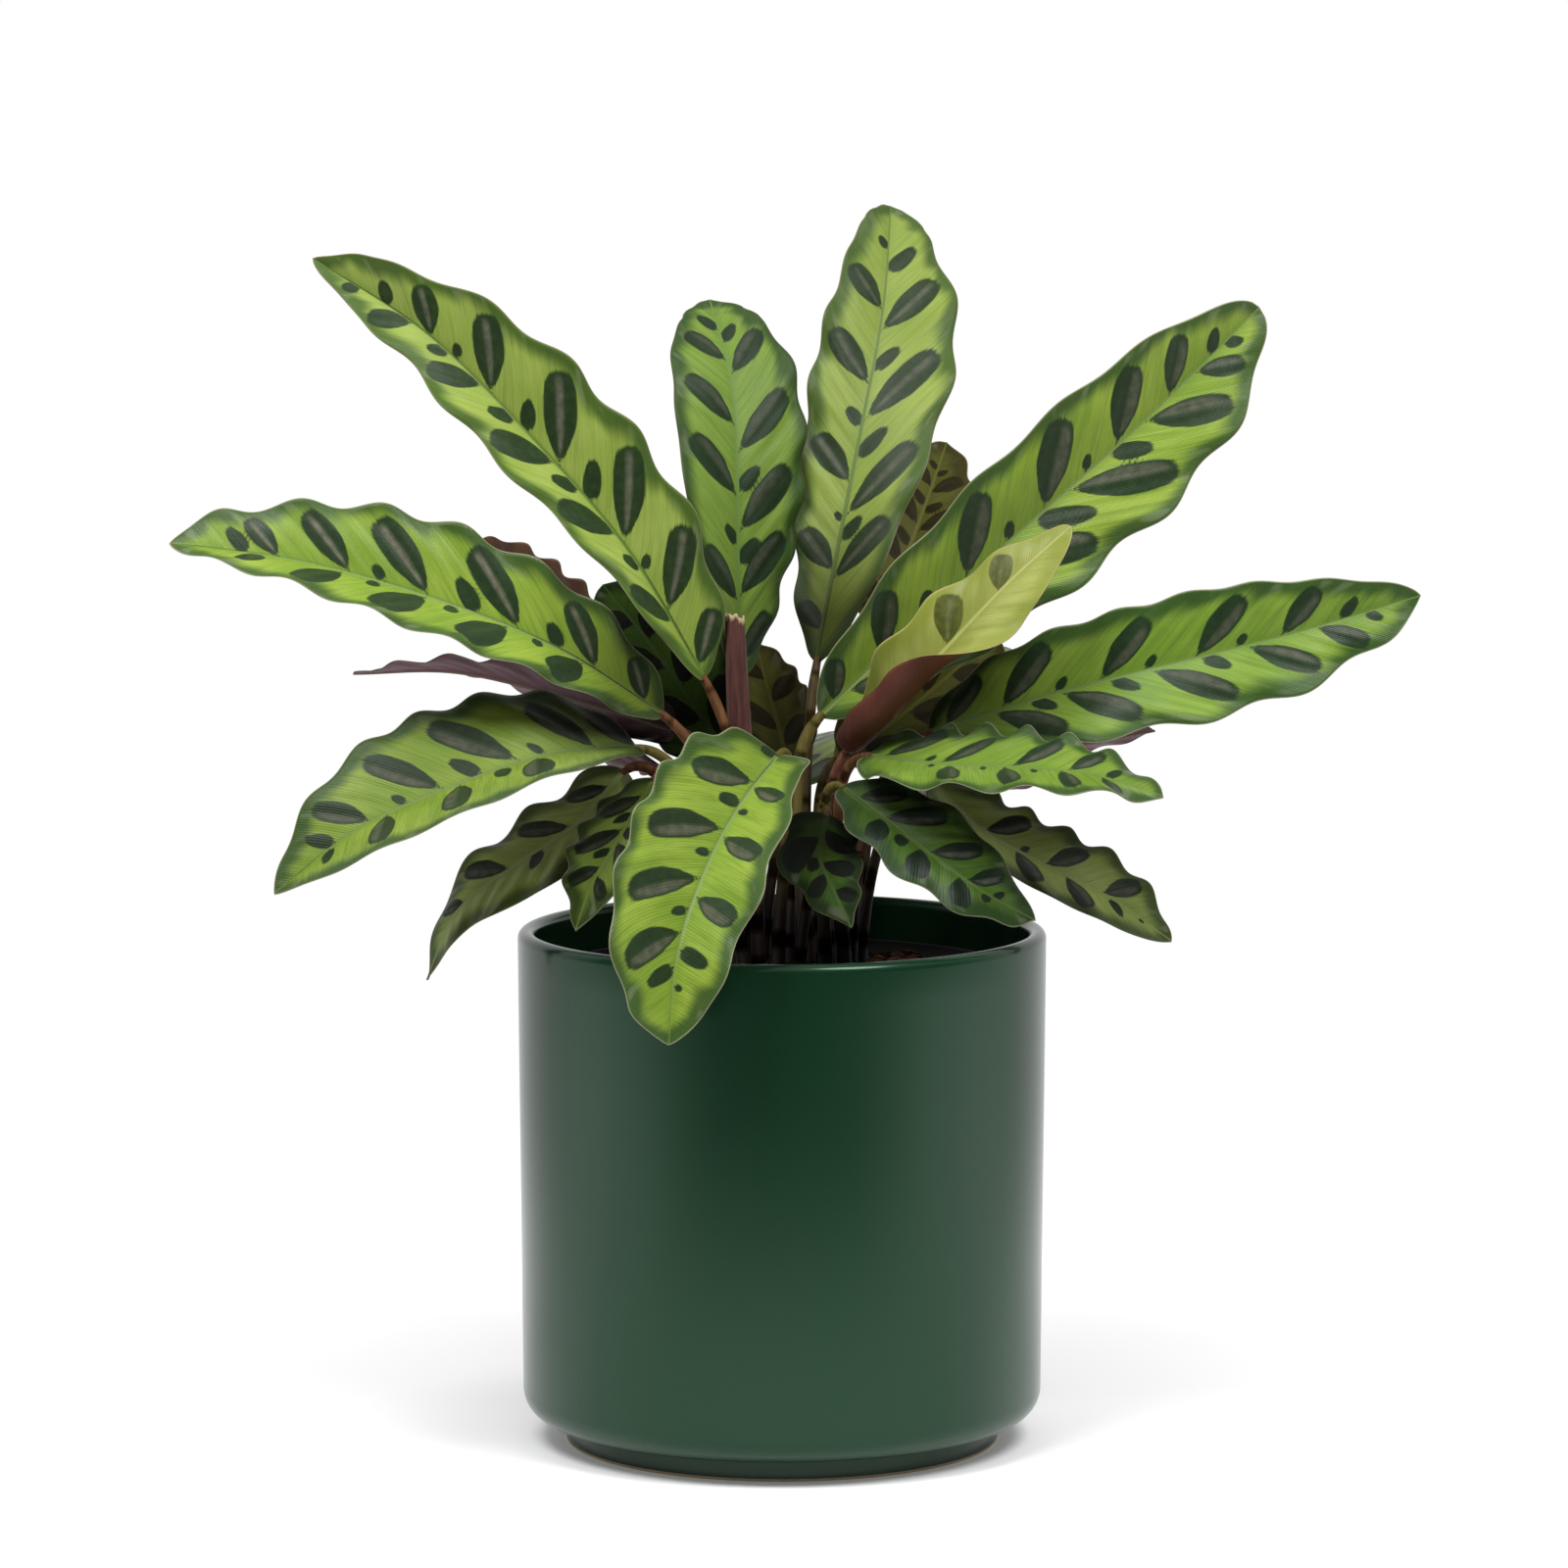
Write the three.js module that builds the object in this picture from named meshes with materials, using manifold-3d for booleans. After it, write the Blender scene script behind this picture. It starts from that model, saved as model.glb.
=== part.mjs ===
import * as THREE from 'three';
import { mergeVertices } from 'three/addons/utils/BufferGeometryUtils.js';
import Module from 'manifold-3d';

// A rattlesnake plant in a nursery pot, standing in a glazed ceramic planter.
// Millimetres, +Z up. The origin is the centre of the planter's flat foot.
// +X is the viewer's right and -Y is towards the viewer.

const clearance = 0.3;

const planter = {
  rimRadius: 90,
  height: 176,
  wall: 6,
  lowerRadius: 88.7,
  cornerRadius: 10,
  footRadius: 74,
  footHeight: 8,
  floorTop: 16,
  innerCorner: 8,
  cornerSteps: 5,
  lipSteps: 6,
  innerCornerSteps: 3,
  segments: 44,
};

const growPot = {
  rimRadius: 80,
  rimHeight: 162,
  rimDepth: 7,
  rimStep: 1.6,
  baseRadius: 58,
  wall: 1.2,
  holeRadius: 5,
  holeCircle: 40,
  holes: 6,
  holeSides: 10,
  segments: 40,
};

const soil = {
  edgeHeight: 158,
  crownHeight: 161.5,
  lump: 0.8,
  lumpPitch: [20, 23],
  rings: 5,
  segments: 36,
};

const stem = {
  radius: 1.7,
  sides: 4,
  steps: 7,
  depthInSoil: 14,
  rise: 0.45,
  runOut: 0.25,
};

const blade = {
  thickness: 0.8,
  straight: 1e-4,
  steps: 10,
  across: 4,
  baseHalfWidth: 1.4,
  tipHalfWidth: 0.4,
  rollFrom: 0.3,
  rollTo: 0.7,
};

// Each leaf: rib = points along the midrib from the blade's base to its tip, foot = where its
// stem leaves the soil, face = the way its upper side looks at the base and faceTip at the tip,
// side = the right half's share of the width, widest = how far along that is, base, blunt and
// acute = how full the outline is towards each end, fold = how far each half is raised (degrees),
// curl = how far a half bends further on its way out, roll = curl added near the base, left and
// right, bumps = where a margin stands out: half (0 left, 1 right), place, mm and half its length.
const leafDefaults = {
  width: 46,
  side: 1,
  widest: 0.45,
  base: 2.2,
  blunt: 2.4,
  acute: 0.7,
  face: [0, -1, 0.3],
  fold: 14,
  curl: -12,
  roll: [0, 0],
  bumps: [],
  colour: '#5f8f34',
};

const leaves = [
  {
    name: 'upper_left', foot: [-8, -4], width: 48, side: 1.15, widest: 0.51, base: 2.4, blunt: 1.6,
    acute: 0.78, fold: 31, curl: -4, face: [0.64, -0.72, 0.27], faceTip: [-0.1, -0.97, 0.24],
    rib: [[-26, -8, 262], [-51, -14, 305], [-83, -16, 343], [-119, -12, 378], [-158, -2, 404]],
  },
  {
    name: 'left', foot: [-13, -8], width: 52, side: 1.02, widest: 0.54, base: 1.6, blunt: 1.6,
    acute: 0.6, fold: 30, curl: -8, face: [0.58, -0.73, 0.35], faceTip: [0.03, -0.59, 0.81],
    rib: [[-41, -13, 251], [-76, -30, 274], [-116, -38, 292], [-160, -39, 304], [-204, -33, 310]],
  },
  {
    name: 'left_back', foot: [-15, 2], width: 35, widest: 0.3, base: 4, face: [0, 0.75, 0.66],
    faceTip: [0, 0.05, 1], colour: '#5b2f3a',
    rib: [[-36, 2, 244], [-70, 12, 253], [-111, 26, 261], [-148, 40, 259]],
  },
  {
    name: 'lower_left', foot: [-14, -15], width: 60, widest: 0.54, base: 3, blunt: 1.5, acute: 0.8,
    fold: 27, curl: -8, face: [0.21, -0.34, 0.92], faceTip: [-0.4, -0.66, 0.63],
    bumps: [[0, 0.78, 4, 0.14]],
    rib: [[-49, -24, 240], [-78, -43, 240], [-109, -55, 230], [-141, -62, 217], [-168, -66, 196]],
  },
  {
    name: 'low_left', foot: [-19, -6], width: 35, side: 0.98, widest: 0.43, base: 2.4, blunt: 2,
    acute: 1.15, fold: 8, face: [-0.1, -0.7, 0.7], faceTip: [-0.8, -0.42, 0.44],
    rib: [[-53, -10, 231], [-69, -18, 214], [-90, -23, 200], [-109, -23, 185], [-120, -20, 161]],
  },
  {
    name: 'low_left_small', foot: [-12, -21], width: 33, widest: 0.44, base: 2, blunt: 1.9,
    acute: 1, fold: 12, face: [-0.43, -0.55, 0.71], faceTip: [-0.53, -0.8, 0.3],
    rib: [[-42, -32, 231], [-55, -48, 211], [-63, -56, 198], [-68, -58, 183]],
  },
  {
    name: 'front', foot: [-2, -22], width: 57, side: 1.15, widest: 0.57, base: 2.5, blunt: 2.1,
    acute: 0.74, fold: 32, curl: 5, face: [0.14, -0.59, 0.79], faceTip: [0.08, -0.97, 0.23],
    rib: [[-1, -42, 240], [-14, -65, 225], [-25, -86, 206], [-34, -102, 182], [-37, -110, 153]],
  },
  {
    name: 'centre_small', foot: [5, -24], width: 27, widest: 0.41, base: 2.6, blunt: 1.6,
    acute: 0.9, fold: 12, face: [0.2, -0.75, 0.63], faceTip: [-0.14, -0.84, 0.52],
    rib: [[15, -37, 219], [12, -48, 207], [16, -57, 198], [23, -66, 185]],
  },
  {
    name: 'low_right', foot: [15, -15], width: 31, side: 0.89, widest: 0.47, base: 1.8, blunt: 1.8,
    acute: 0.85, fold: 16, curl: -13, face: [-0.24, -0.65, 0.72], faceTip: [0.53, -0.84, 0.12],
    rib: [[20, -34, 228], [34, -48, 220], [50, -58, 208], [67, -59, 196], [84, -50, 185]],
  },
  {
    name: 'low_right_back', foot: [26, -2], width: 34, widest: 0.48, base: 3.4, blunt: 3,
    acute: 0.84, fold: 20, face: [0.4, -0.57, 0.72], faceTip: [0.45, -0.66, 0.61],
    rib: [[50, 2, 226], [68, -5, 210], [89, -10, 198], [112, -12, 187], [132, -12, 173]],
  },
  {
    name: 'right_curly', foot: [22, -13], width: 46, side: 1.1, widest: 0.44, base: 3.5,
    blunt: 1.5, acute: 0.5, fold: 15, curl: -9, face: [-0.08, -0.38, 0.92],
    faceTip: [0.24, -0.36, 0.9],
    rib: [[29, -30, 238], [51, -44, 237], [76, -53, 237], [102, -56, 235], [127, -52, 227]],
  },
  {
    name: 'right', foot: [23, -9], width: 45, side: 1.02, widest: 0.58, base: 3.5, blunt: 1.5,
    acute: 0.65, fold: 21, curl: -11, face: [-0.39, -0.74, 0.56], faceTip: [0.22, -0.98, -0.02],
    rib: [[50, -6, 244], [90, -16, 257], [132, -23, 269], [174, -22, 280], [215, -13, 291]],
  },
  {
    name: 'upper_right', foot: [9, -4], width: 54, side: 1.03, widest: 0.62, base: 1.9, blunt: 2,
    acute: 0.6, fold: 24, curl: -9, face: [-0.15, -0.99, 0.03], faceTip: [0.32, -0.95, 0.04],
    rib: [[13, -4, 249], [50, -8, 285], [88, -6, 319], [126, 1, 352], [162, 15, 386]],
  },
  {
    name: 'young', foot: [15, -7], width: 38, side: 1.12, widest: 0.43, base: 5, blunt: 1.6,
    acute: 0.6, fold: 11, roll: [45, 190], bumps: [[0, 0, -13, 0.17], [1, 0.08, 5, 0.14]],
    face: [-0.58, -0.82, 0.01], faceTip: [-0.48, -0.68, 0.56], across: 10, colour: '#a9b458',
    rib: [[23, -14, 240], [40, -26, 258], [58, -33, 278], [76, -36, 297], [96, -36, 316]],
  },
  {
    name: 'top_right', foot: [8, 8], width: 49, side: 1.15, widest: 0.61, base: 1.6, blunt: 1.75,
    acute: 0.53, fold: 18, face: [-0.49, -0.8, 0.35], faceTip: [0.46, -0.69, 0.56],
    rib: [[12, 13, 266], [20, 27, 307], [28, 44, 347], [35, 67, 384], [38, 95, 418]],
  },
  {
    name: 'top_left', foot: [-10, 1], width: 50, side: 1.02, widest: 0.48, base: 1.6, blunt: 3,
    acute: 0.55, curl: -14, face: [0.84, -0.53, 0.1], faceTip: [0.12, -0.75, 0.65],
    rib: [[-15, 4, 262], [-15, 10, 296], [-16, 19, 329], [-17, 34, 360], [-25, 57, 387]],
  },
  {
    name: 'back_top', foot: [15, 16], width: 36, colour: '#4c5a2a',
    rib: [[31, 34, 276], [41, 52, 294], [50, 72, 315], [58, 96, 335]],
  },
  {
    name: 'back_left_up', foot: [-20, 16], width: 26, face: [0, 0.85, 0.5], colour: '#5b3b34',
    rib: [[-48, 45, 255], [-64, 53, 269], [-84, 63, 285], [-105, 71, 303]],
  },
  {
    name: 'back_centre', foot: [2, 10], width: 27, face: [0.3, -1, 0.3], colour: '#3c4a1e',
    rib: [[2, 24, 227], [-1, 34, 240], [-5, 44, 253], [-9, 56, 268]],
  },
  {
    name: 'back_left_dark', foot: [-8, 8], width: 42, colour: '#2f4a22',
    rib: [[-18, 20, 232], [-33, 29, 253], [-46, 39, 270], [-62, 49, 289]],
  },
  {
    name: 'back_right_dark', foot: [17, 3], width: 40, colour: '#2f4a22',
    rib: [[20, 10, 234], [38, 16, 245], [56, 24, 259], [74, 36, 274]],
  },
  {
    name: 'back_right', foot: [27, 13], width: 30, face: [0, 0.5, 0.8], colour: '#5b3b34',
    rib: [[44, 24, 231], [75, 40, 231], [103, 52, 233], [130, 60, 237]],
  },
  {
    name: 'back_right_low', foot: [24, 19], width: 30, face: [0, 0.5, 0.8], colour: '#5b2f3a',
    rib: [[35, 32, 222], [55, 46, 219], [73, 58, 218], [94, 68, 219]],
  },
  {
    name: 'back_left_low', foot: [-19, 8], width: 30, face: [0, 0.5, 0.8], colour: '#5b2f3a',
    rib: [[-36, 12, 227], [-50, 22, 229], [-67, 34, 232], [-94, 48, 237]],
  },
  {
    name: 'rear_left', foot: [-7, 16], width: 38, face: [-0.2, 0.2, 1],
    rib: [[-2, 42, 238], [-22, 76, 258], [-46, 110, 262], [-70, 144, 250]],
  },
  {
    name: 'rear', foot: [3, 18], width: 42, face: [0, -0.2, 1],
    rib: [[6, 40, 220], [9, 74, 231], [13, 112, 229], [16, 150, 214]],
  },
  {
    name: 'rear_right', foot: [12, 22], width: 38, face: [0.2, 0.2, 1],
    rib: [[30, 34, 240], [60, 64, 254], [92, 96, 258], [122, 126, 246]],
  },
];

// The short maroon sheath round the top of the top left leaf's stem, open at the back.
const sheath = {
  path: [[-13.5, 0.5, 226], [-15, -2.5, 256], [-16, -4, 284]],
  halfWidth: [4.2, 2.9],
  depth: 3,
  thickness: 0.7,
  spread: 100,
  across: 8,
  steps: 6,
};

const wasm = await Module();
wasm.setup();

function solidOf(geometry) {
  const bare = geometry.clone();
  bare.deleteAttribute('normal');
  bare.deleteAttribute('uv');
  const merged = mergeVertices(bare, 1e-4);
  return new wasm.Manifold(new wasm.Mesh({
    numProp: 3,
    vertProperties: Float32Array.from(merged.attributes.position.array),
    triVerts: Uint32Array.from(merged.index.array),
  }));
}

function geometryOf(solid) {
  const mesh = solid.getMesh();
  const geometry = new THREE.BufferGeometry();
  geometry.setAttribute('position', new THREE.BufferAttribute(mesh.vertProperties, 3));
  geometry.setIndex(new THREE.BufferAttribute(mesh.triVerts, 1));
  geometry.computeVertexNormals();
  return geometry;
}

function turned(profile, segments) {
  const points = profile.map(([radius, height]) => new THREE.Vector2(radius, height));
  return new THREE.LatheGeometry(points, segments).rotateX(Math.PI / 2);
}

// Points of an arc round a centre from one angle to another, both in degrees.
function arc(centre, radius, from, to, steps) {
  const points = [];
  for (let i = 0; i <= steps; i += 1) {
    const angle = THREE.MathUtils.degToRad(from + (to - from) * i / steps);
    points.push([centre[0] + radius * Math.cos(angle), centre[1] + radius * Math.sin(angle)]);
  }
  return points;
}

function planterGeometry() {
  const p = planter;
  const lip = p.wall / 2;
  const innerLower = p.lowerRadius - p.wall;
  const cornerCentre = [p.lowerRadius - p.cornerRadius, p.footHeight + p.cornerRadius];
  const lipCentre = [p.rimRadius - lip, p.height - lip];
  const innerCentre = [innerLower - p.innerCorner, p.floorTop + p.innerCorner];
  const profile = [
    [0, 0],
    [p.footRadius, 0],
    [p.footRadius, p.footHeight],
    ...arc(cornerCentre, p.cornerRadius, -90, 0, p.cornerSteps),
    ...arc(lipCentre, lip, 0, 180, p.lipSteps),
    ...arc(innerCentre, p.innerCorner, 0, -90, p.innerCornerSteps),
    [0, p.floorTop],
  ];
  return turned(profile, p.segments);
}

const potFloor = planter.floorTop + clearance;

function growPotGeometry() {
  const g = growPot;
  const shoulder = g.rimHeight - g.rimDepth;
  const profile = [
    [0, potFloor],
    [g.baseRadius, potFloor],
    [g.rimRadius - g.rimStep, shoulder],
    [g.rimRadius, shoulder],
    [g.rimRadius, g.rimHeight],
    [g.rimRadius - g.rimStep - g.wall, g.rimHeight],
    [g.baseRadius - g.wall, potFloor + g.wall],
    [0, potFloor + g.wall],
  ];
  let pot = solidOf(turned(profile, g.segments));
  for (let i = 0; i < g.holes; i += 1) {
    const angle = 2 * Math.PI * i / g.holes;
    const place = [g.holeCircle * Math.cos(angle), g.holeCircle * Math.sin(angle), potFloor];
    const hole = new THREE.CylinderGeometry(g.holeRadius, g.holeRadius, 4 * g.wall, g.holeSides);
    hole.rotateX(Math.PI / 2).translate(...place);
    pot = pot.subtract(solidOf(hole));
  }
  return geometryOf(pot);
}

// The inner radius of the nursery pot's wall at a height.
function potInnerRadius(height) {
  const low = growPot.baseRadius - growPot.wall;
  const high = growPot.rimRadius - growPot.rimStep - growPot.wall;
  const bottom = potFloor + growPot.wall;
  return low + (high - low) * (height - bottom) / (growPot.rimHeight - bottom);
}

function soilGeometry(stemSolids) {
  const bottom = potFloor + growPot.wall + clearance;
  const top = potInnerRadius(soil.edgeHeight) - clearance;
  const profile = [
    [0, bottom],
    [potInnerRadius(bottom) - clearance, bottom],
    [top, soil.edgeHeight],
  ];
  for (let ring = soil.rings - 1; ring >= 0; ring -= 1) {
    const share = ring / soil.rings;
    const rise = 1 - share * share;
    profile.push([top * share, soil.edgeHeight + (soil.crownHeight - soil.edgeHeight) * rise]);
  }
  const geometry = turned(profile, soil.segments);
  const position = geometry.attributes.position;
  for (let i = 0; i < position.count; i += 1) {
    if (position.getZ(i) > soil.edgeHeight + 0.1) {
      const across = Math.sin(2 * Math.PI * position.getX(i) / soil.lumpPitch[0] + 1);
      const back = Math.cos(2 * Math.PI * position.getY(i) / soil.lumpPitch[1]);
      position.setZ(i, position.getZ(i) + soil.lump * across * back);
    }
  }
  let body = solidOf(geometry);
  for (const solid of stemSolids) {
    body = body.subtract(solid);
  }
  return geometryOf(body);
}

function vector(list) {
  return new THREE.Vector3(...list);
}

function mix(a, b, share) {
  return a + (b - a) * share;
}

// How wide the leaf is at s, as a share of its greatest width.
function outline(leaf, s) {
  if (s < leaf.widest) {
    return Math.sqrt(1 - (1 - s / leaf.widest) ** leaf.base);
  }
  return (1 - ((s - leaf.widest) / (1 - leaf.widest)) ** leaf.blunt) ** leaf.acute;
}

function ribFrame(leaf, s) {
  const at = leaf.curve.getPointAt(s);
  const along = leaf.curve.getTangentAt(s);
  const look = vector(leaf.face).lerp(vector(leaf.faceTip ?? leaf.face), s);
  const up = look.addScaledVector(along, -look.dot(along)).normalize();
  const right = new THREE.Vector3().crossVectors(along, up);
  return { at, along, up, right };
}

// A point of the blade: s runs from the base to the tip and t from the left margin to the right.
function bladePoint(leaf, s, t) {
  const frame = ribFrame(leaf, s);
  const sign = Math.sign(t);
  const out = Math.abs(t);
  const fold = THREE.MathUtils.degToRad(leaf.fold);
  const rolled = 1 - THREE.MathUtils.smoothstep(s, blade.rollFrom, blade.rollTo);
  const roll = leaf.roll[sign > 0 ? 1 : 0] * rolled;
  const bend = THREE.MathUtils.degToRad(leaf.curl + roll);
  const curl = Math.abs(bend) < blade.straight ? blade.straight : bend;
  const sideShare = sign > 0 ? leaf.side : 2 - leaf.side;
  const least = mix(blade.baseHalfWidth, blade.tipHalfWidth, s);
  let grown = leaf.width / 2 * outline(leaf, s) * sideShare;
  for (const [side, place, height, spread] of leaf.bumps) {
    const here = side === (sign > 0 ? 1 : 0);
    grown += here ? height * Math.exp(-(((s - place) / spread) ** 2)) : 0;
  }
  const half = Math.max(grown, least);
  const lateral = half / curl * (Math.sin(fold + curl * out) - Math.sin(fold));
  const rise = -half / curl * (Math.cos(fold + curl * out) - Math.cos(fold));
  return frame.at
    .addScaledVector(frame.right, sign * lateral)
    .addScaledVector(frame.up, rise);
}

function bladeNormal(leaf, s, t) {
  const step = 0.004;
  const s0 = Math.max(s - step, 0);
  const s1 = Math.min(s + step, 1);
  const t0 = Math.max(t - 0.02, -1);
  const t1 = Math.min(t + 0.02, 1);
  const along = bladePoint(leaf, s1, t).sub(bladePoint(leaf, s0, t));
  const across = bladePoint(leaf, s, t1).sub(bladePoint(leaf, s, t0));
  return across.cross(along).normalize();
}

// A thin box whose points are moved onto the leaf's surface.
function bladeGeometry(leaf) {
  const geometry = new THREE.BoxGeometry(2, 1, 1, leaf.across ?? blade.across, 1, blade.steps);
  const position = geometry.attributes.position;
  for (let i = 0; i < position.count; i += 1) {
    const s = position.getZ(i) + 0.5;
    const t = -position.getX(i);
    const point = bladePoint(leaf, s, t);
    point.addScaledVector(bladeNormal(leaf, s, t), blade.thickness * position.getY(i));
    position.setXYZ(i, point.x, point.y, point.z);
  }
  geometry.computeVertexNormals();
  return geometry;
}

// The stem rises from the soil and bends out until it runs on into the midrib.
function stemGeometry(leaf, radius) {
  const frame = ribFrame(leaf, 0);
  const end = frame.at.clone().addScaledVector(frame.along, -clearance);
  const foot = new THREE.Vector3(leaf.foot[0], leaf.foot[1], soil.edgeHeight - stem.depthInSoil);
  const reach = end.distanceTo(foot);
  const path = new THREE.CubicBezierCurve3(
    foot,
    foot.clone().add(new THREE.Vector3(0, 0, reach * stem.rise)),
    end.clone().addScaledVector(frame.along, -reach * stem.runOut),
    end,
  );
  const section = new THREE.Shape().absarc(0, 0, radius, 0, 2 * Math.PI);
  return new THREE.ExtrudeGeometry(section, {
    steps: stem.steps,
    curveSegments: stem.sides,
    extrudePath: path,
  });
}

// A curved shell in front of the stem, from the front's middle round to both sides.
function sheathGeometry() {
  const path = new THREE.CatmullRomCurve3(sheath.path.map(vector));
  const geometry = new THREE.BoxGeometry(2, 1, 1, sheath.across, 1, sheath.steps);
  const position = geometry.attributes.position;
  for (let i = 0; i < position.count; i += 1) {
    const s = position.getZ(i) + 0.5;
    const angle = THREE.MathUtils.degToRad(-sheath.spread * position.getX(i));
    const inset = sheath.thickness * (0.5 - position.getY(i));
    const halfWidth = mix(sheath.halfWidth[0], sheath.halfWidth[1], s) - inset;
    const point = path.getPoint(s);
    point.x += halfWidth * Math.sin(angle);
    point.y -= (sheath.depth - inset) * Math.cos(angle);
    position.setXYZ(i, point.x, point.y, point.z);
  }
  geometry.computeVertexNormals();
  return geometry;
}

const finish = {
  glaze: new THREE.MeshStandardMaterial({ color: '#1f3b2a', roughness: 0.35, metalness: 0 }),
  plastic: new THREE.MeshStandardMaterial({ color: '#141514', roughness: 0.6, metalness: 0 }),
  soil: new THREE.MeshStandardMaterial({ color: '#2a1c13', roughness: 0.95, metalness: 0 }),
  stem: new THREE.MeshStandardMaterial({ color: '#4a2f1f', roughness: 0.6, metalness: 0 }),
  sheath: new THREE.MeshStandardMaterial({ color: '#6b3a40', roughness: 0.6, metalness: 0 }),
};

const plant = new THREE.Group();

function addPiece(name, geometry, material) {
  const mesh = new THREE.Mesh(geometry, material);
  mesh.name = name;
  plant.add(mesh);
}

const socketSolids = [];
for (const entry of leaves) {
  const leaf = { ...leafDefaults, ...entry };
  leaf.curve = new THREE.CatmullRomCurve3(leaf.rib.map(vector), false, 'catmullrom', 0.5);
  const leafFinish = new THREE.MeshStandardMaterial({ color: leaf.colour, roughness: 0.5, metalness: 0 });
  addPiece(`leaf_${leaf.name}`, bladeGeometry(leaf), leafFinish);
  addPiece(`stem_${leaf.name}`, stemGeometry(leaf, stem.radius), finish.stem);
  socketSolids.push(solidOf(stemGeometry(leaf, stem.radius + clearance)));
}

addPiece('stem_sheath', sheathGeometry(), finish.sheath);
addPiece('planter', planterGeometry(), finish.glaze);
addPiece('grow_pot', growPotGeometry(), finish.plastic);
addPiece('potting_soil', soilGeometry(socketSolids), finish.soil);

export default plant;
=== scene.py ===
import math
import random

import bmesh
import bpy
import numpy as np
from mathutils import Matrix, Vector, noise


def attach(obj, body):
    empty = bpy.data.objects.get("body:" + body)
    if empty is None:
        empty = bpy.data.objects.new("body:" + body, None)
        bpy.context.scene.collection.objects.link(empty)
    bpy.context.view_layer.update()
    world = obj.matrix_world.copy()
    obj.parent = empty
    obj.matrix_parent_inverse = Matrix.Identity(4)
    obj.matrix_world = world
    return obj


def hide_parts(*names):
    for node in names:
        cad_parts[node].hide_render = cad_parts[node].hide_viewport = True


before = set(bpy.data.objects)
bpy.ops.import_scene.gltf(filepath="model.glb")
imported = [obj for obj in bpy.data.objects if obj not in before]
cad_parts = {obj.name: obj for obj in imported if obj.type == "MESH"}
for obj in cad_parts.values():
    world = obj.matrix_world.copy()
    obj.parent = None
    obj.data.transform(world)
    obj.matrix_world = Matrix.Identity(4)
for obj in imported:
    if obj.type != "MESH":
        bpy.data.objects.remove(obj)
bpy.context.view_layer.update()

mm = 0.001  # sizes below are millimetres, as in the frame's model


# Shader maths

def tint(code):  # a web colour as linear light
    parts = [int(code[k:k + 2], 16) / 255 for k in (1, 3, 5)]
    return [c / 12.92 if c <= 0.04045 else ((c + 0.055) / 1.055) ** 2.4 for c in parts] + [1.0]


class Wire:
    # One output socket. Sums on it add Math nodes.
    def __init__(self, tree, socket=None):
        self.tree = tree
        self.socket = socket

    def node(self, kind, settings=None, sockets=None, output=0):
        new = self.tree.nodes.new("ShaderNode" + kind)
        for key, value in (settings or {}).items():
            setattr(new, key, value)
        for key, value in (sockets or {}).items():
            if isinstance(value, Wire):
                self.tree.links.new(value.socket, new.inputs[key])
            else:
                new.inputs[key].default_value = tint(value) if isinstance(value, str) else value
        return Wire(self.tree, new.outputs[output] if len(new.outputs) else None)

    def out(self, name):
        return Wire(self.tree, self.socket.node.outputs[name])

    def split(self, name):  # the three numbers that the mesh keeps under this name
        kept = self.node("Attribute", {"attribute_name": name}, None, "Vector")
        parts = kept.node("SeparateXYZ", None, {0: kept})
        return [parts.out(axis) for axis in "XYZ"]

    def maths(self, operation, first, second=0.0):
        return self.node("Math", {"operation": operation}, {0: first, 1: second})

    def __add__(self, other):
        return self.maths("ADD", self, other)

    def __sub__(self, other):
        return self.maths("SUBTRACT", self, other)

    def __rsub__(self, other):
        return self.maths("SUBTRACT", other, self)

    def __mul__(self, other):
        return self.maths("MULTIPLY", self, other)

    __radd__ = __add__
    __rmul__ = __mul__

    def size(self):
        return self.maths("ABSOLUTE", self)

    def positive(self):
        return self.maths("MAXIMUM", self, 0.0)

    def wave(self, period):  # from 0 to 1 and back, once in each period
        return self.maths("SINE", self * (2 * math.pi / period)) * 0.5 + 0.5

    def between(self, low, high):  # 0 at low and 1 at high, eased at both ends
        return self.node("MapRange", {"interpolation_type": "SMOOTHSTEP"},
                         {"Value": self, "From Min": low, "From Max": high})

    def joined(self, second, third):  # three numbers as one place
        return self.node("CombineXYZ", None, {0: self, 1: second, 2: third})

    def stretched(self, factors):
        return self.node("VectorMath", {"operation": "MULTIPLY"}, {0: self, 1: factors})

    def grain(self, scale, detail=3.0, roughness=0.55):  # noise at this place
        return self.node("TexNoise", None, {"Vector": self, "Scale": scale, "Detail": detail,
                                            "Roughness": roughness})

    def bump(self, strength, height):  # this pattern as relief, the height in mm
        return self.node("Bump", None, {"Strength": strength, "Distance": height * mm, "Height": self})

    def paint(self, first, second, blend="MIX"):  # the first colour where this is 0, the second where it is 1
        return self.node("Mix", {"data_type": "RGBA", "blend_type": blend}, {0: self, 6: first, 7: second}, 2)


def newMaterial(name):  # a material, and the place on the object, from which its other nodes are made
    material = bpy.data.materials.new(name)
    material.use_nodes = True
    material.node_tree.nodes.clear()
    return material, Wire(material.node_tree).node("TexCoord", output="Object")


def finishMaterial(material, place, colour, roughness, relief, gloss=0.5, more=None):
    sockets = {"Base Color": colour, "Roughness": roughness, "Normal": relief, "Specular IOR Level": gloss}
    surface = place.node("BsdfPrincipled", None, {**sockets, **(more or {})})
    place.node("OutputMaterial", None, {"Surface": surface})
    return material


# Making and handing over pieces

def newObject(name, data):
    made = bpy.data.objects.new(name, data)
    bpy.context.scene.collection.objects.link(made)
    return made


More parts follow.
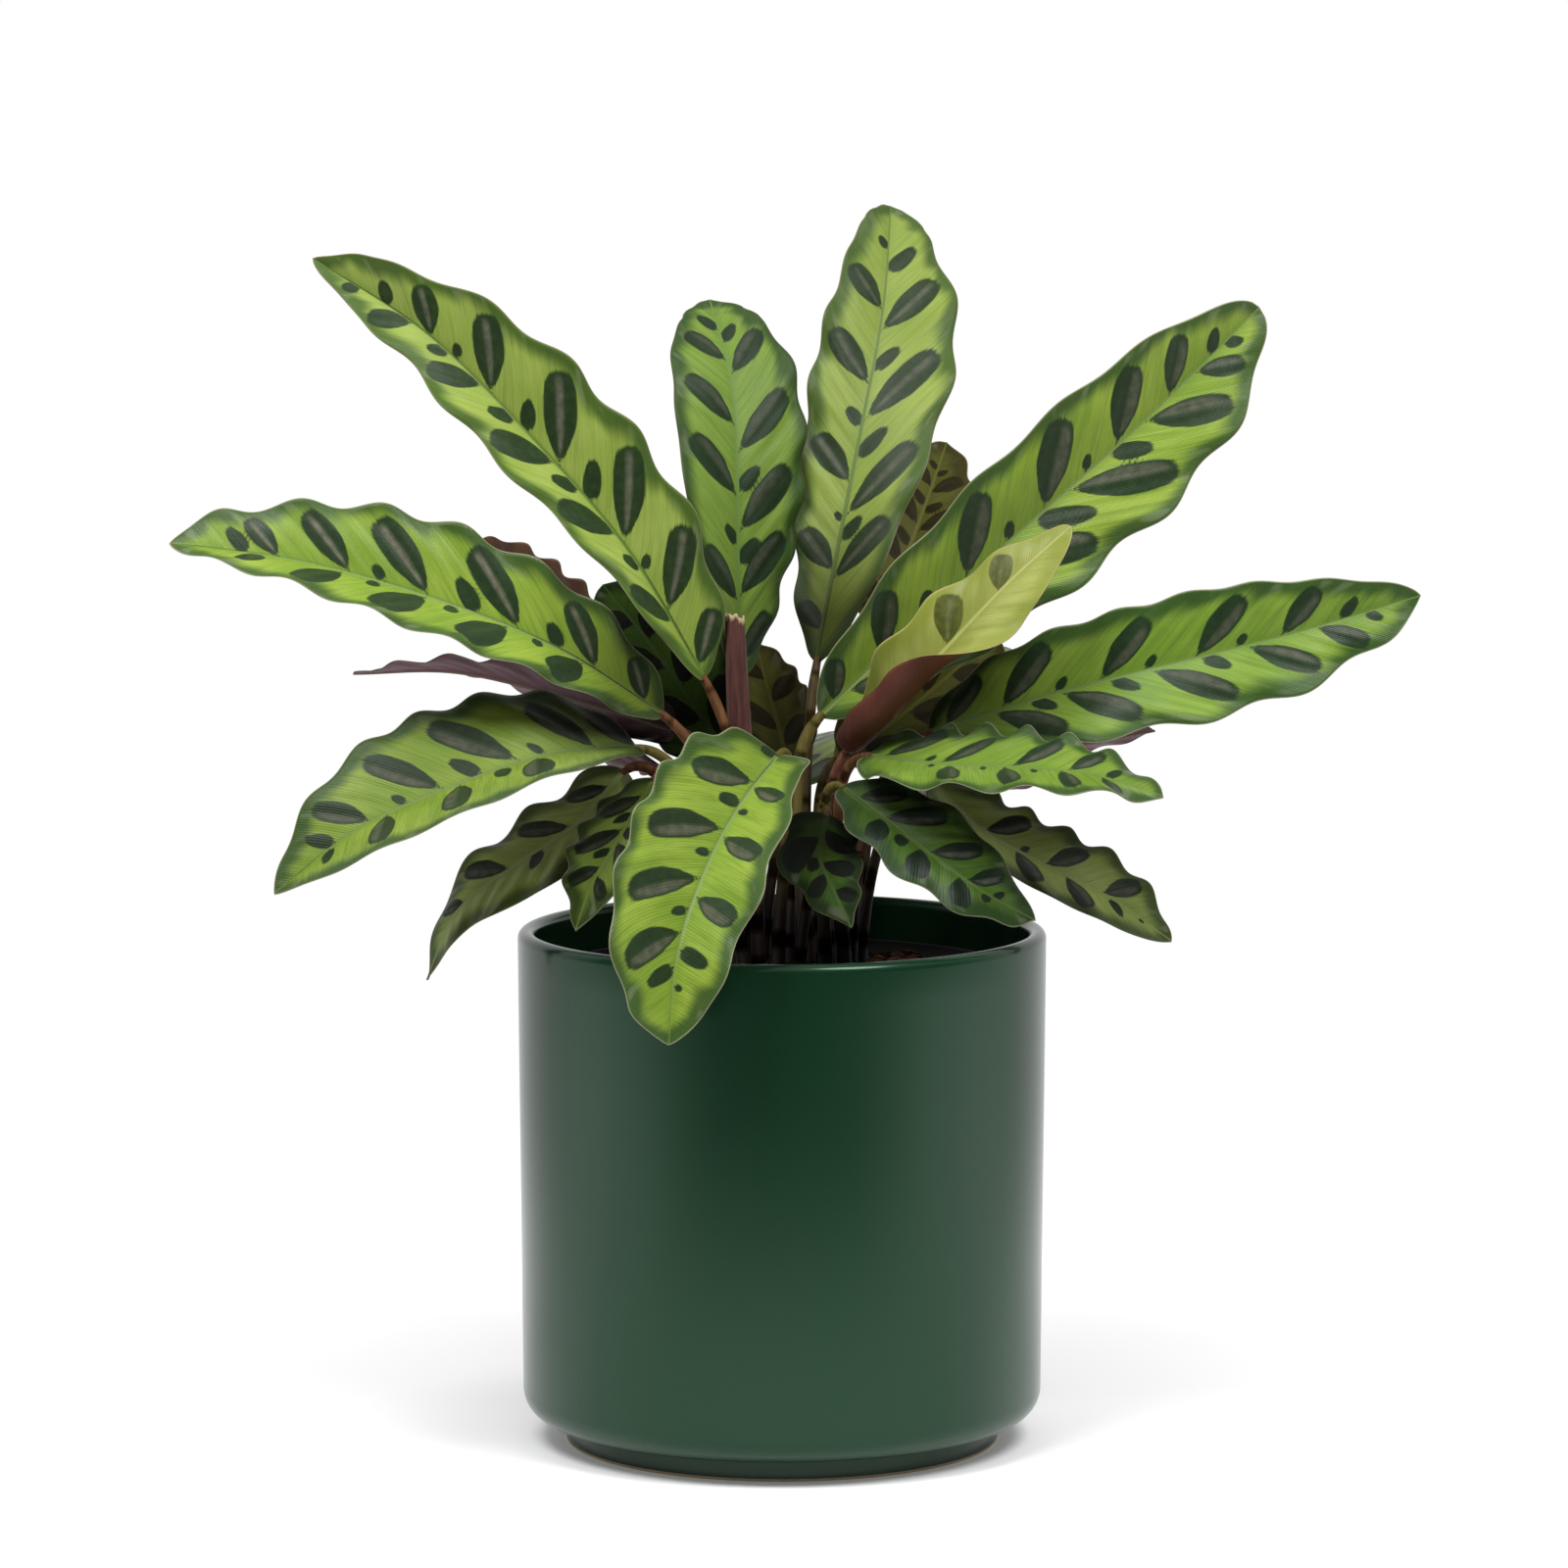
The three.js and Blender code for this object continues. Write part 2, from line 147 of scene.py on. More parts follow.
def newMesh(name, shape, materials, smooth):
    mesh = bpy.data.meshes.new(name)
    shape.to_mesh(mesh)
    shape.free()
    mesh.polygons.foreach_set("use_smooth", [smooth] * len(mesh.polygons))
    for material in materials:
        mesh.materials.append(material)
    return newObject(name, mesh)


def newPiece(name, shape, materials, nodes, slot, smooth=True):
    piece = newMesh(name, shape, materials, smooth)
    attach(piece, "root")
    if nodes:
        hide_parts(*nodes)
    return piece


def placesOf(mesh):
    places = np.zeros(len(mesh.vertices) * 3)
    mesh.vertices.foreach_get("co", places)
    return places.reshape(-1, 3)


def putPlaces(mesh, places):
    mesh.vertices.foreach_set("co", np.ascontiguousarray(places * mm, dtype=np.float32).ravel())
    mesh.update()


def keepValues(mesh, name, *columns):  # up to three numbers for each vertex, which the materials read
    table = np.zeros((len(mesh.vertices), 3), np.float32)
    for k, column in enumerate(columns):
        table[:, k] = column
    mesh.attributes.new(name, "FLOAT_VECTOR", "POINT").data.foreach_set("vector", table.ravel())


def unit(vectors):
    return vectors / np.maximum(np.linalg.norm(vectors, axis=-1, keepdims=True), 1e-9)


def ease(value, low, high):
    share = np.clip((value - low) / (high - low), 0, 1)
    return share * share * (3 - 2 * share)


def pathLength(points):
    return np.linalg.norm(np.diff(points, axis=0), axis=1).sum()


def readRows(at, known, rows):  # the rows at other places than the known ones
    return np.stack([np.interp(at, known, column) for column in rows.T], 1)


def smoothPath(points, steps):  # a smooth curve through the points, as places at even distances
    points = np.array(points, float)
    ends = np.vstack([2 * points[0] - points[1], points, 2 * points[-1] - points[-2]])
    fineSteps = 600
    at = np.linspace(0, len(points) - 1, fineSteps)
    span = np.minimum(at.astype(int), len(points) - 2)
    f = (at - span)[:, None]
    a, b, c, d = (ends[span + k] for k in range(4))
    fine = b + f * (c - a + f * (2 * a - 5 * b + 4 * c - d + f * (3 * b - a - 3 * c + d))) / 2
    walked = np.concatenate([[0], np.cumsum(np.linalg.norm(np.diff(fine, axis=0), axis=1))])
    even = np.linspace(0, walked[-1], steps + 1)
    return readRows(even, walked, fine)


def arc(centre, radius, start, end, steps):
    turns = [math.radians(start + (end - start) * k / steps) for k in range(steps + 1)]
    return [(centre[0] + radius * math.cos(a), centre[1] + radius * math.sin(a)) for a in turns]


def lathe(profile, turns):  # the profile runs from the axis, round the outside, back to the axis
    shape = bmesh.new()
    points = [shape.verts.new((radius * mm, 0, height * mm)) for radius, height in profile]
    edges = [shape.edges.new(pair) for pair in zip(points, points[1:])]
    bmesh.ops.spin(shape, geom=points + edges, cent=(0, 0, 0), axis=(0, 0, 1), angle=2 * math.pi,
                   steps=turns, use_merge=True)
    bmesh.ops.remove_doubles(shape, verts=shape.verts, dist=0.002 * mm)
    bmesh.ops.recalc_face_normals(shape, faces=shape.faces)
    return shape


def slab(grid):  # a closed flat box of one unit height, with this many squares each way
    shape = bmesh.new()
    bmesh.ops.create_grid(shape, x_segments=grid[0], y_segments=grid[1], size=1)
    grown = bmesh.ops.extrude_face_region(shape, geom=list(shape.faces), use_keep_orig=True)["geom"]
    bmesh.ops.translate(shape, verts=[g for g in grown if isinstance(g, bmesh.types.BMVert)], vec=(0, 0, 1))
    bmesh.ops.recalc_face_normals(shape, faces=shape.faces)
    return shape


# Camera, floor and light

view = {
    "distance": 2270.0,  # in front of the planter's axis
    "height": 492.0,
    "aside": 0.7,
    "down": 6.70,  # degrees
    "lens": 154.4,
    "frame": 36.0,  # the width that the lens is for
    "farthest": 50.0,  # metres
}

studio = {
    "floorRadius": 800.0,
    "floorSides": 96,
    "fadeFrom": 190.0,
    "floorTone": (0.97, 0.97, 0.97, 1),
    "floorGlow": 0.1,
    "backdrop": 1.0,
    "frontDark": 0.03,
    "sideLight": 0.82,
    "topLight": 0.7,
    "lowSideLight": 1.06,  # below the horizon, which only the planter's wall mirrors
    "bandLight": 0.9,  # added where the middle of the wall mirrors it
    "lowBackDark": 0.2,  # taken off further behind
    "horizon": (0.0, -0.08),  # from here on, each pair is where a change starts and ends, as parts of a ray
    "above": (0.25, 0.85),
    "bandTop": (-0.152, -0.178),
    "bandFoot": (-0.27, -0.23),
    "front": (-0.5, 0.35),
    "lowFront": (0.0, 1.1),
    "bandFront": (0.3, 1.0),
    "back": (0.1, -0.6),
    "lamps": {  # place in metres, and power in watts
        "keyLight": ((-0.75, -1.0, 2.1), 29.0),
        "fillLight": ((0.85, -0.95, 2.0), 26.0),
    },
    "lampSize": 0.9,
    "lampAim": (0, 0, 0.25),
}


def makeCamera():
    camera = bpy.data.cameras.new("photoCamera")
    camera.lens = view["lens"]
    camera.sensor_width = view["frame"]
    camera.clip_end = view["farthest"]
    holder = newObject("photoCamera", camera)
    holder.location = (view["aside"] * mm, -view["distance"] * mm, view["height"] * mm)
    holder.rotation_euler = (math.radians(90 - view["down"]), 0, 0)
    bpy.context.scene.camera = holder


def makeFloor():  # a pale disc that fades out into the backdrop
    material, place = newMaterial("paleFloor")
    away = place.node("VectorMath", {"operation": "LENGTH"}, {0: place}, "Value")
    fade = away.between(studio["fadeFrom"] * mm, studio["floorRadius"] * mm)
    surface = place.node("BsdfPrincipled", None, {
        "Base Color": studio["floorTone"], "Roughness": 0.75, "Specular IOR Level": 0.2,
        "Emission Color": (1, 1, 1, 1), "Emission Strength": studio["floorGlow"]})
    clear = place.node("BsdfTransparent")
    shown = place.node("MixShader", None, {0: fade, 1: surface, 2: clear})
    place.node("OutputMaterial", None, {"Surface": shown})
    shape = bmesh.new()
    bmesh.ops.create_circle(shape, cap_ends=True, segments=studio["floorSides"],
                             radius=studio["floorRadius"] * mm)
    floor = newMesh("floor", shape, [material], False)


def makeSky():  # white where the camera sees it, dim from the front as in a dark room
    p = studio
    world = bpy.data.worlds.new("studio")
    world.use_nodes = True
    world.node_tree.nodes.clear()
    ray = Wire(world.node_tree).node("TexCoord", output="Generated")
    parts = ray.node("SeparateXYZ", None, {0: ray})
    rise = parts.out("Z")
    near = 0.0 - parts.out("Y")
    low = rise.between(*p["horizon"])
    band = rise.between(*p["bandTop"]) * rise.between(*p["bandFoot"])
    lowFront = near.between(*p["lowFront"]) * (1 - band) + near.between(*p["bandFront"]) * band
    front = near.between(*p["front"]) * (1 - low) + lowFront * low
    above = rise.between(*p["above"])
    back = near.between(*p["back"])
    lowSide = band * (1 - back) * p["bandLight"] - back * p["lowBackDark"] + p["lowSideLight"]
    side = low * (lowSide - p["sideLight"]) + p["sideLight"]
    around = front * p["frontDark"] + (1 - front) * side
    glow = around * (1 - above) + above * p["topLight"]
    seen = ray.node("LightPath", output="Is Camera Ray")
    strength = glow * (1 - seen) + seen * p["backdrop"]
    light = ray.node("Background", None, {"Color": (1, 1, 1, 1), "Strength": strength})
    ray.node("OutputWorld", None, {"Surface": light})
    bpy.context.scene.world = world
    bpy.context.scene.view_settings.view_transform = "Standard"


def makeLamp(name, place, power):
    lamp = bpy.data.lights.new(name, "AREA")
    lamp.shape = "DISK"
    lamp.size = studio["lampSize"]
    lamp.energy = power
    holder = newObject(name, lamp)
    holder.location = place
    aim = Vector(studio["lampAim"]) - Vector(place)
    holder.rotation_euler = aim.to_track_quat("-Z", "Y").to_euler()


makeCamera()
makeFloor()
makeSky()
for name, (place, power) in studio["lamps"].items():
    makeLamp(name, place, power)
print("stage: camera, floor and light")


# Planter

planter = {
    "radius": 90.0,
    "lowRadius": 88.7,  # the wall tapers slightly
    "height": 176.0,
    "wall": 6.0,
    "corner": 10.0,
    "innerCorner": 6.0,
    "footRadius": 74.0,
    "footHeight": 8.0,
    "footEdge": 0.7,
    "footFillet": 1.5,  # where the foot meets the wall
    "floor": 16.0,
    "turns": 192,
    "bareLine": 1.0,  # unglazed line at the bottom of the foot
    "bareBlur": (0.25, -0.15),  # all glaze this far above the line, and all clay this far below
    "footShadeZone": (9.5, 7.0),  # heights between which painted shade darkens the glaze towards the foot, under the body's overhang
    "footShadeStrength": 0.75,
    "glaze": ("#11301d", "#133520"),
    "specks": "#0c2213",
    "footShadeColour": "#06150c",
    "clay": ("#a38f72", "#b6a184"),
    "mirrorTint": (0.72, 1.0, 0.8, 1),
}


def glazeMaterial():
    p = planter
    material, place = newMaterial("greenGlaze")
    height = place.node("SeparateXYZ", None, {0: place}, "Z")
    broad = place.grain(7.0, 2.0)
    fine = place.grain(160.0)
    speck = place.grain(1100.0, 1.0)
    green = broad.between(0.3, 0.7).paint(*p["glaze"])
    green = (speck.between(0.68, 0.76) * 0.25).paint(green, p["specks"])
    # painted shade on the foot, where the body overhangs it
    paintedFootShade = height.between(*[z * mm for z in p["footShadeZone"]])
    green = (paintedFootShade * p["footShadeStrength"]).paint(green, p["footShadeColour"])
    bare = height.between(*[(p["bareLine"] + z) * mm for z in p["bareBlur"]])
    colour = bare.paint(green, fine.paint(*p["clay"]))
    roughness = 0.18 + (fine - 0.5) * 0.02 + bare * 0.6
    return finishMaterial(material, place, colour, roughness, broad.bump(0.05, 1.0), 0.5,
                          {"IOR": 1.42, "Specular Tint": p["mirrorTint"]})


def makePlanter():
    p = planter
    foot, edge, fillet = p["footRadius"], p["footEdge"], p["footFillet"]
    under = p["footHeight"] - fillet
    corner, inside = p["corner"], p["innerCorner"]
    inner = p["radius"] - p["wall"]
    lip = p["wall"] / 2
    bottom = p["footHeight"] + corner
    top = p["height"] - lip
    profile = [(0, 0), (foot - edge, 0)]
    profile += arc((foot - edge, edge), edge, -90, 0, 4)[1:]
    profile += [(foot, p["bareLine"]), (foot, p["footHeight"] / 2), (foot, under)]
    profile += arc((foot + fillet, under), fillet, 180, 90, 4)[1:]
    profile += arc((p["lowRadius"] - corner, bottom), corner, -90, 0, 20)
    for share in np.linspace(0, 1, 16)[1:-1]:
        radius = p["lowRadius"] + (p["radius"] - p["lowRadius"]) * share
        profile.append((radius, bottom + (top - bottom) * share))
    profile += arc((p["radius"] - lip, top), lip, 0, 180, 14)
    profile += [(inner, z) for z in np.linspace(top, p["floor"] + inside, 10)[1:-1]]
    profile += arc((inner - inside, p["floor"] + inside), inside, 0, -90, 6)
    profile += [(0, p["floor"])]
    newPiece("green_planter", lathe(profile, p["turns"]), [glazeMaterial()], ["planter"], "glaze")


makePlanter()
print("stage: planter")


# Nursery pot

growPot = {
    "rimRadius": 80.0,
    "rimHeight": 7.0,
    "rimChamfer": 0.4,
    "top": 162.0,
    "topRadius": 77.6,
    "baseRadius": 61.0,
    "base": 16.3,
    "corner": 2.0,
    "innerCorner": (1.0, 3.0),  # inwards and upwards
    "wall": 1.2,
    "turns": 120,
    "colours": ("#0b0b0a", "#1e1a15"),  # plastic and dust
}


def potPlasticMaterial():
    material, place = newMaterial("blackPotPlastic")
    dust = place.grain(60.0, 4.0)
    fine = place.grain(900.0, 2.0)
    colour = dust.between(0.55, 0.85).paint(*growPot["colours"])
    return finishMaterial(material, place, colour, 0.5 + dust * 0.2, fine.bump(0.2, 0.2), 0.25)


def makeGrowPot():
    p = growPot
    base, wall, corner, outer = p["base"], p["wall"], p["corner"], p["baseRadius"]
    low = p["top"] - p["rimHeight"]
    lip = wall / 2
    inward, upward = p["innerCorner"]
    profile = [(0, base), (outer - corner, base)]
    profile += arc((outer - corner, base + corner), corner, -90, -8, 5)[1:]
    profile += [(p["topRadius"], low), (p["rimRadius"] - p["rimChamfer"], low)]
    profile += arc((p["rimRadius"] - lip, p["top"] - lip), lip, 0, 180, 6)
    profile += [(p["rimRadius"] - wall, low + wall), (p["topRadius"] - wall, low)]
    profile += [(outer - wall - inward, base + upward), (outer - wall - upward, base + wall)]
    profile += [(0, base + wall)]
    shape = lathe(profile, p["turns"])
    newPiece("nursery_pot", shape, [potPlasticMaterial()], ["grow_pot"], "nursery_plastic")


makeGrowPot()
print("stage: nursery pot")


# Potting mix and bark

soil = {
    "edge": 158.0,
    "crown": 161.5,
    "radius": 75.9,
    "baseRadius": 56.0,
    "base": 18.0,
    "shoulder": 3.0,  # from the edge down to the slanted side
    "turns": 150,
    "lump": 1.5,
    "lumpScales": (110, 320),
    "lumpShare": 0.6,  # of the finer lumps
    "lumpFrom": 1.0,  # below the edge
    "chips": 300,
    "chipLength": (4.0, 11.0),
    "chipWidth": (0.4, 0.75),  # shares of its length
    "chipThickness": (0.16, 0.34),
    "chipTilt": (-0.35, 0.35),
    "chipChipped": (-0.1, 0.1),
    "chipSpread": 72.0,
    "chipRaise": (0.3, 0.4),  # a share of its thickness, and mm
    "seed": 7,
}


def soilHeight(radius):
    share = min(radius / soil["radius"], 1)
    return soil["edge"] + (soil["crown"] - soil["edge"]) * math.cos(math.pi / 2 * share)


def mixMaterial():
    material, place = newMaterial("pottingMix")
    broad = place.grain(70.0)
    crumbs = place.grain(420.0, 4.0, 0.65)
    grit = place.grain(1500.0, 2.0)
    colour = crumbs.between(0.3, 0.72).paint("#0f0906", "#2a1b13")
    colour = (grit.between(0.68, 0.74) * 0.4).paint(colour, "#7a5f45")
    colour = (broad.between(0.55, 0.8) * 0.5).paint(colour, "#120c08")
    return finishMaterial(material, place, colour, 0.95, (crumbs + grit * 0.3).bump(0.9, 1.2), 0.0)


def barkMaterial():
    material, place = newMaterial("barkPieces")
    broad = place.grain(45.0, 2.0)
    fibre = place.grain(600.0, 4.0, 0.7)
    colour = broad.between(0.35, 0.65).paint("#20110a", "#4a2a1a")
    colour = (fibre.between(0.5, 0.8) * 0.7).paint(colour, "#7c5238")
    return finishMaterial(material, place, colour, 0.85, fibre.bump(0.7, 0.6), 0.1)


def makeSoil():
    p = soil
    profile = [(0, p["base"]), (p["baseRadius"], p["base"]), (p["radius"], p["edge"] - p["shoulder"])]
    for share in np.linspace(1, 0, 40)[:-1]:
        profile.append((p["radius"] * share, soilHeight(p["radius"] * share)))
    profile += [(0, p["crown"])]
    shape = lathe(profile, p["turns"])
    coarse, fine = p["lumpScales"]
    for point in shape.verts:
        if point.co.z > (p["edge"] - p["lumpFrom"]) * mm:
            lump = noise.noise(point.co * coarse) + p["lumpShare"] * noise.noise(point.co * fine)
            point.co.z += lump * p["lump"] * mm
    newPiece("potting_mix", shape, [mixMaterial()], ["potting_soil"], "potting_mix")


def makeBark():
    p = soil
    dice = random.Random(p["seed"])
    chips = bmesh.new()
    for k in range(p["chips"]):
        length = dice.uniform(*p["chipLength"])
        wide = length * dice.uniform(*p["chipWidth"])
        thick = length * dice.uniform(*p["chipThickness"])
        radius = p["chipSpread"] * math.sqrt(dice.random())
        tilt = Vector((dice.uniform(*p["chipTilt"]), dice.uniform(*p["chipTilt"]), 1)).to_track_quat("Z", "Y")
        turned = Matrix.Rotation(dice.uniform(0, 2 * math.pi), 4, "Z") @ tilt.to_matrix().to_4x4()
        about = dice.uniform(0, 2 * math.pi)
        height = soilHeight(radius) + thick * p["chipRaise"][0] + p["chipRaise"][1]
        place = Vector((radius * math.cos(about), radius * math.sin(about), height))
        made = bmesh.ops.create_icosphere(chips, subdivisions=1, radius=0.5)["verts"]
        for point in made:
            point.co += Vector([dice.uniform(*p["chipChipped"]) for axis in range(3)])
        bmesh.ops.scale(chips, verts=made, vec=(length * mm, wide * mm, thick * mm))
        bmesh.ops.transform(chips, verts=made, matrix=Matrix.Translation(place * mm) @ turned)
    newPiece("bark_pieces", chips, [barkMaterial()], [], "potting_mix", smooth=False)


makeSoil()
makeBark()
print("stage: potting mix and bark")


# Leaf shape

# A blade runs along its rib from base to tip. s is the share of its length and t goes from -1 at the
# left margin to 1 at the right one, seen on its upper face with the tip away. Pairs are left and right.
bladeDefaults = {
    "width": 46.0,
    "side": 1.0,  # the right half's width, in halves of the blade's
    "widest": 0.45,
    "base": 2.2,  # fullness towards the base
    "blunt": 2.4,  # fullness towards the tip
    "acute": 0.7,
    "face": (0, -1, 0.3),  # the way the upper face looks at the base
    "faceTip": None,  # and at the tip, where that differs
    "fold": 14.0,  # degrees that each half is raised at the rib
    "curl": -12.0,  # degrees that a half bends further on its way out
    "roll": (0, 0),  # degrees of curl added near the base
    "ruffles": (6.0, 6.0),  # waves along the margins
    "phases": (0.3, 0.7),
    "scallop": (1.0, 1.0),  # how far a wave goes outwards
    "ruffle": (1.2, 1.2),  # how far it goes up and down
    "torn": 0.0,  # how ragged the tip is
    "bumps": (),  # where a margin stands out: side, place along the blade, mm, and half its length
    "fine": True,  # more rows, for the leaves in front
    "stemSize": 1.0,
    "paint": "fresh",
    "under": "maroon",
    "shade": (0.3, 0.35, 0.0),  # painted shade at the base, how far along it goes, and painted shade all over
    "glint": 0.5,  # shine on a blotch's side towards the tip, or less than 0 for a line along its middle
    "lean": (1.0, 1.0),  # how far veins run on for each mm away from the rib
    "thick": (1.0, 1.0),  # a blotch's width, against the usual share of the blade's width
    "dull": None,  # the side whose blotches have no shine
    "large": None,  # where the blotches of each size leave the rib
    "medium": ((), ()),
    "small": ((), ()),
    "dot": ((), ()),
}

blade = {
    "thickness": 0.5,
    "edgeThickness": 0.22,
    "baseHalf": 1.3,
    "tipHalf": 0.15,
    "veinBend": 0.004,
    "ribTop": (0.35, 0.7),  # how high the rib stands above, and how much of that it loses towards the tip
    "ribUnder": (1.5, 0.85),
    "ribHalf": (1.25, 0.75),
    "rollFrom": 0.3,  # the added curl fades from here
    "rollTo": 0.7,
    "tornZone": (0.9, 0.97),
    "tornWaves": (350, 510),  # radians along the blade
    "rufflePower": 2.2,  # a higher one keeps a ruffle nearer the margin
    "pucker": 0.22,
    "puckerPeriod": 8.5,
    "rowPower": 1.15,  # rows are closer together near the rib
    "tableSteps": 400,
    "fineGrid": (160, 44),
    "coarseGrid": (104, 30),
}


def onSide(leaf, name, rightSide):
    return np.where(rightSide, leaf[name][1], leaf[name][0])


def outline(leaf, s):  # share of the half width
    rising = np.sqrt(np.clip(1 - np.clip(1 - s / leaf["widest"], 0, 1) ** leaf["base"], 0, 1))
    beyond = np.clip((s - leaf["widest"]) / (1 - leaf["widest"]), 0, 1)
    falling = np.clip(1 - beyond ** leaf["blunt"], 0, 1) ** leaf["acute"]
    return np.where(s < leaf["widest"], rising, falling)


def bladeTables(leaf):  # the rib, its directions and the half widths, at even distances
    steps = blade["tableSteps"]
    s = np.linspace(0, 1, steps + 1)
    rib = smoothPath(leaf["rib"], steps)
    along = unit(np.gradient(rib, axis=0))
    face = np.array(leaf["face"], float)
    faceTip = np.array(leaf["faceTip"] or leaf["face"], float)
    look = face + (faceTip - face) * s[:, None]
    up = unit(look - np.sum(look * along, 1, keepdims=True) * along)
    share = outline(leaf, s)
    least = blade["baseHalf"] + (blade["tipHalf"] - blade["baseHalf"]) * s
    coarse, fine = blade["tornWaves"]
    halves = []
    for side, part in ((0, 2 - leaf["side"]), (1, leaf["side"])):
        wavy = np.sin(2 * np.pi * (leaf["ruffles"][side] * s + leaf["phases"][side]))
        half = leaf["width"] / 2 * part * share + leaf["scallop"][side] * wavy * np.sqrt(share)
        frayed = 1 + np.sin(s * coarse + 2 * side) * np.sin(s * fine)
        half -= leaf["torn"] * ease(s, *blade["tornZone"]) * frayed
        for at, place, out, spread in leaf["bumps"]:
            half += (at == side) * out * np.exp(-((s - place) / spread) ** 2)
        halves.append(np.maximum(half, least))
    return {"s": s, "rib": rib, "up": up, "right": np.cross(along, up), "length": pathLength(rib),
            "share": share, "halves": halves}


def readTable(tables, name, s):
    values = tables[name]
    if values.ndim == 1:
        return np.interp(s, tables["s"], values)
    return readRows(s, tables["s"], values)


def halfAt(tables, s, rightSide):
    left, right = (np.interp(s, tables["s"], half) for half in tables["halves"])
    return np.where(rightSide, right, left)


def veinRun(leaf, rightSide, y):  # how far on a side vein is, y mm away from the rib
    return onSide(leaf, "lean", rightSide) * (y + blade["veinBend"] * y * y)


# Leaf markings

blotches = {
    "sizes": {  # share of the half blade where one starts and ends, and share of the blade's width
        "large": (0.08, 0.79, 0.205),
        "medium": (0.06, 0.53, 0.145),
        "small": (0.04, 0.33, 0.115),
        "dot": (0.05, 0.2, 0.07),
    },
    "varied": 0.24,
    "neck": 0.35,  # half width of the dark line from a blotch to the rib
    "square": 3.0,  # how square a blotch is, where 2 is an oval
    "largeTaper": (0.55, -1.15, 0.05),  # how much narrower it is near the rib, and from where to where
    "smallTaper": (0.25, -0.2, 1),  # the same towards the margin
    "leastHalf": 4,  # no blotch where half the blade is narrower than this
    "lastPlace": 0.985,  # nor beyond this share of its length
    "spacing": 27.0,  # for the leaves that have no list of their own
    "spaced": (0.04, 0.86, 0.92),  # their first place, the range of places, and its power
    "leftLater": 0.035,
    "smallLater": 0.4,  # in shares of the spacing
    "outside": -30.0,  # far from any blotch
    "noShine": -3.0,  # a place across that no sheen reaches
}


def blotchStarts(leaf, length):
    if leaf["large"] is not None:
        return {kind: leaf[kind] for kind in blotches["sizes"]}
    count = max(4, round(length / blotches["spacing"]))
    first, span, power = blotches["spaced"]
    right = [first + span * (k / count) ** power for k in range(count)]
    left = [x + blotches["leftLater"] for x in right]
    later = blotches["smallLater"] / count
    return {"large": (left, right), "small": ([x + later for x in left], [x + later for x in right])}


def blotchList(leaf, tables):
    # For each blotch: side, size, start along the rib, ends away from the rib and width, all in mm.
    length = tables["length"]
    made = []
    for kind, sides in blotchStarts(leaf, length).items():
        first, last, wide = blotches["sizes"][kind]
        for side, starts in enumerate(sides):
            for start in starts:
                vary = 1 + blotches["varied"] * ((start * 37.7 + side * 0.41) % 1 - 0.5)
                reach = last * (1 if kind == "large" else vary)
                y = 0.0
                for k in range(6):
                    s = min(start + veinRun(leaf, side, y) / length, 1.0)
                    half = np.interp(s, tables["s"], tables["halves"][side])
                    y = reach * half
                if s > blotches["lastPlace"] or half < blotches["leastHalf"]:
                    continue
                grown = min(1, 0.35 + half / (0.5 * leaf["width"]) * 0.65)
                width = leaf["width"] * leaf["thick"][side] * wide * grown * (1 + 0.6 * (vary - 1))
                made.append((side, kind, start * length, y * first / reach, y, width))
    return made


def markBlade(leaf, tables, v, y, rightSide):
    # For each vertex: mm inside the nearest blotch, and the place across it from -1 to 1.
    p = blotches
    inside = np.full(len(v), p["outside"])
    across = np.full(len(v), p["noShine"])
    slope = onSide(leaf, "lean", rightSide) * (1 + 2 * blade["veinBend"] * y)
    lean = 1 / np.sqrt(1 + slope * slope)
    for side, kind, start, first, reach, width in blotchList(leaf, tables):
        middle = (first + reach) / 2
        w = (v - start) * lean
        a = (y + w * slope * lean - middle) / ((reach - first) / 2)
        if kind == "large":
            less, low, high = p["largeTaper"]
            taper = 1 - less + less * ease(a, low, high)
        else:
            less, low, high = p["smallTaper"]
            taper = 1 - less * ease(a, low, high)
        b = w / (width / 2 * taper)
        far = (np.abs(a) ** p["square"] + np.abs(b) ** p["square"]) ** (1 / p["square"])
        depth = (1 - far) * width / 2
        neck = np.minimum(p["neck"] - np.abs(w), middle - y)
        depth = np.where(rightSide == bool(side), np.maximum(depth, neck), p["outside"])
        nearer = depth > inside
        inside = np.where(nearer, depth, inside)
        shiny = kind == "large" and side != leaf["dull"]
        across = np.where(nearer, b if shiny else p["noShine"], across)
    return inside, across


# Leaf colours

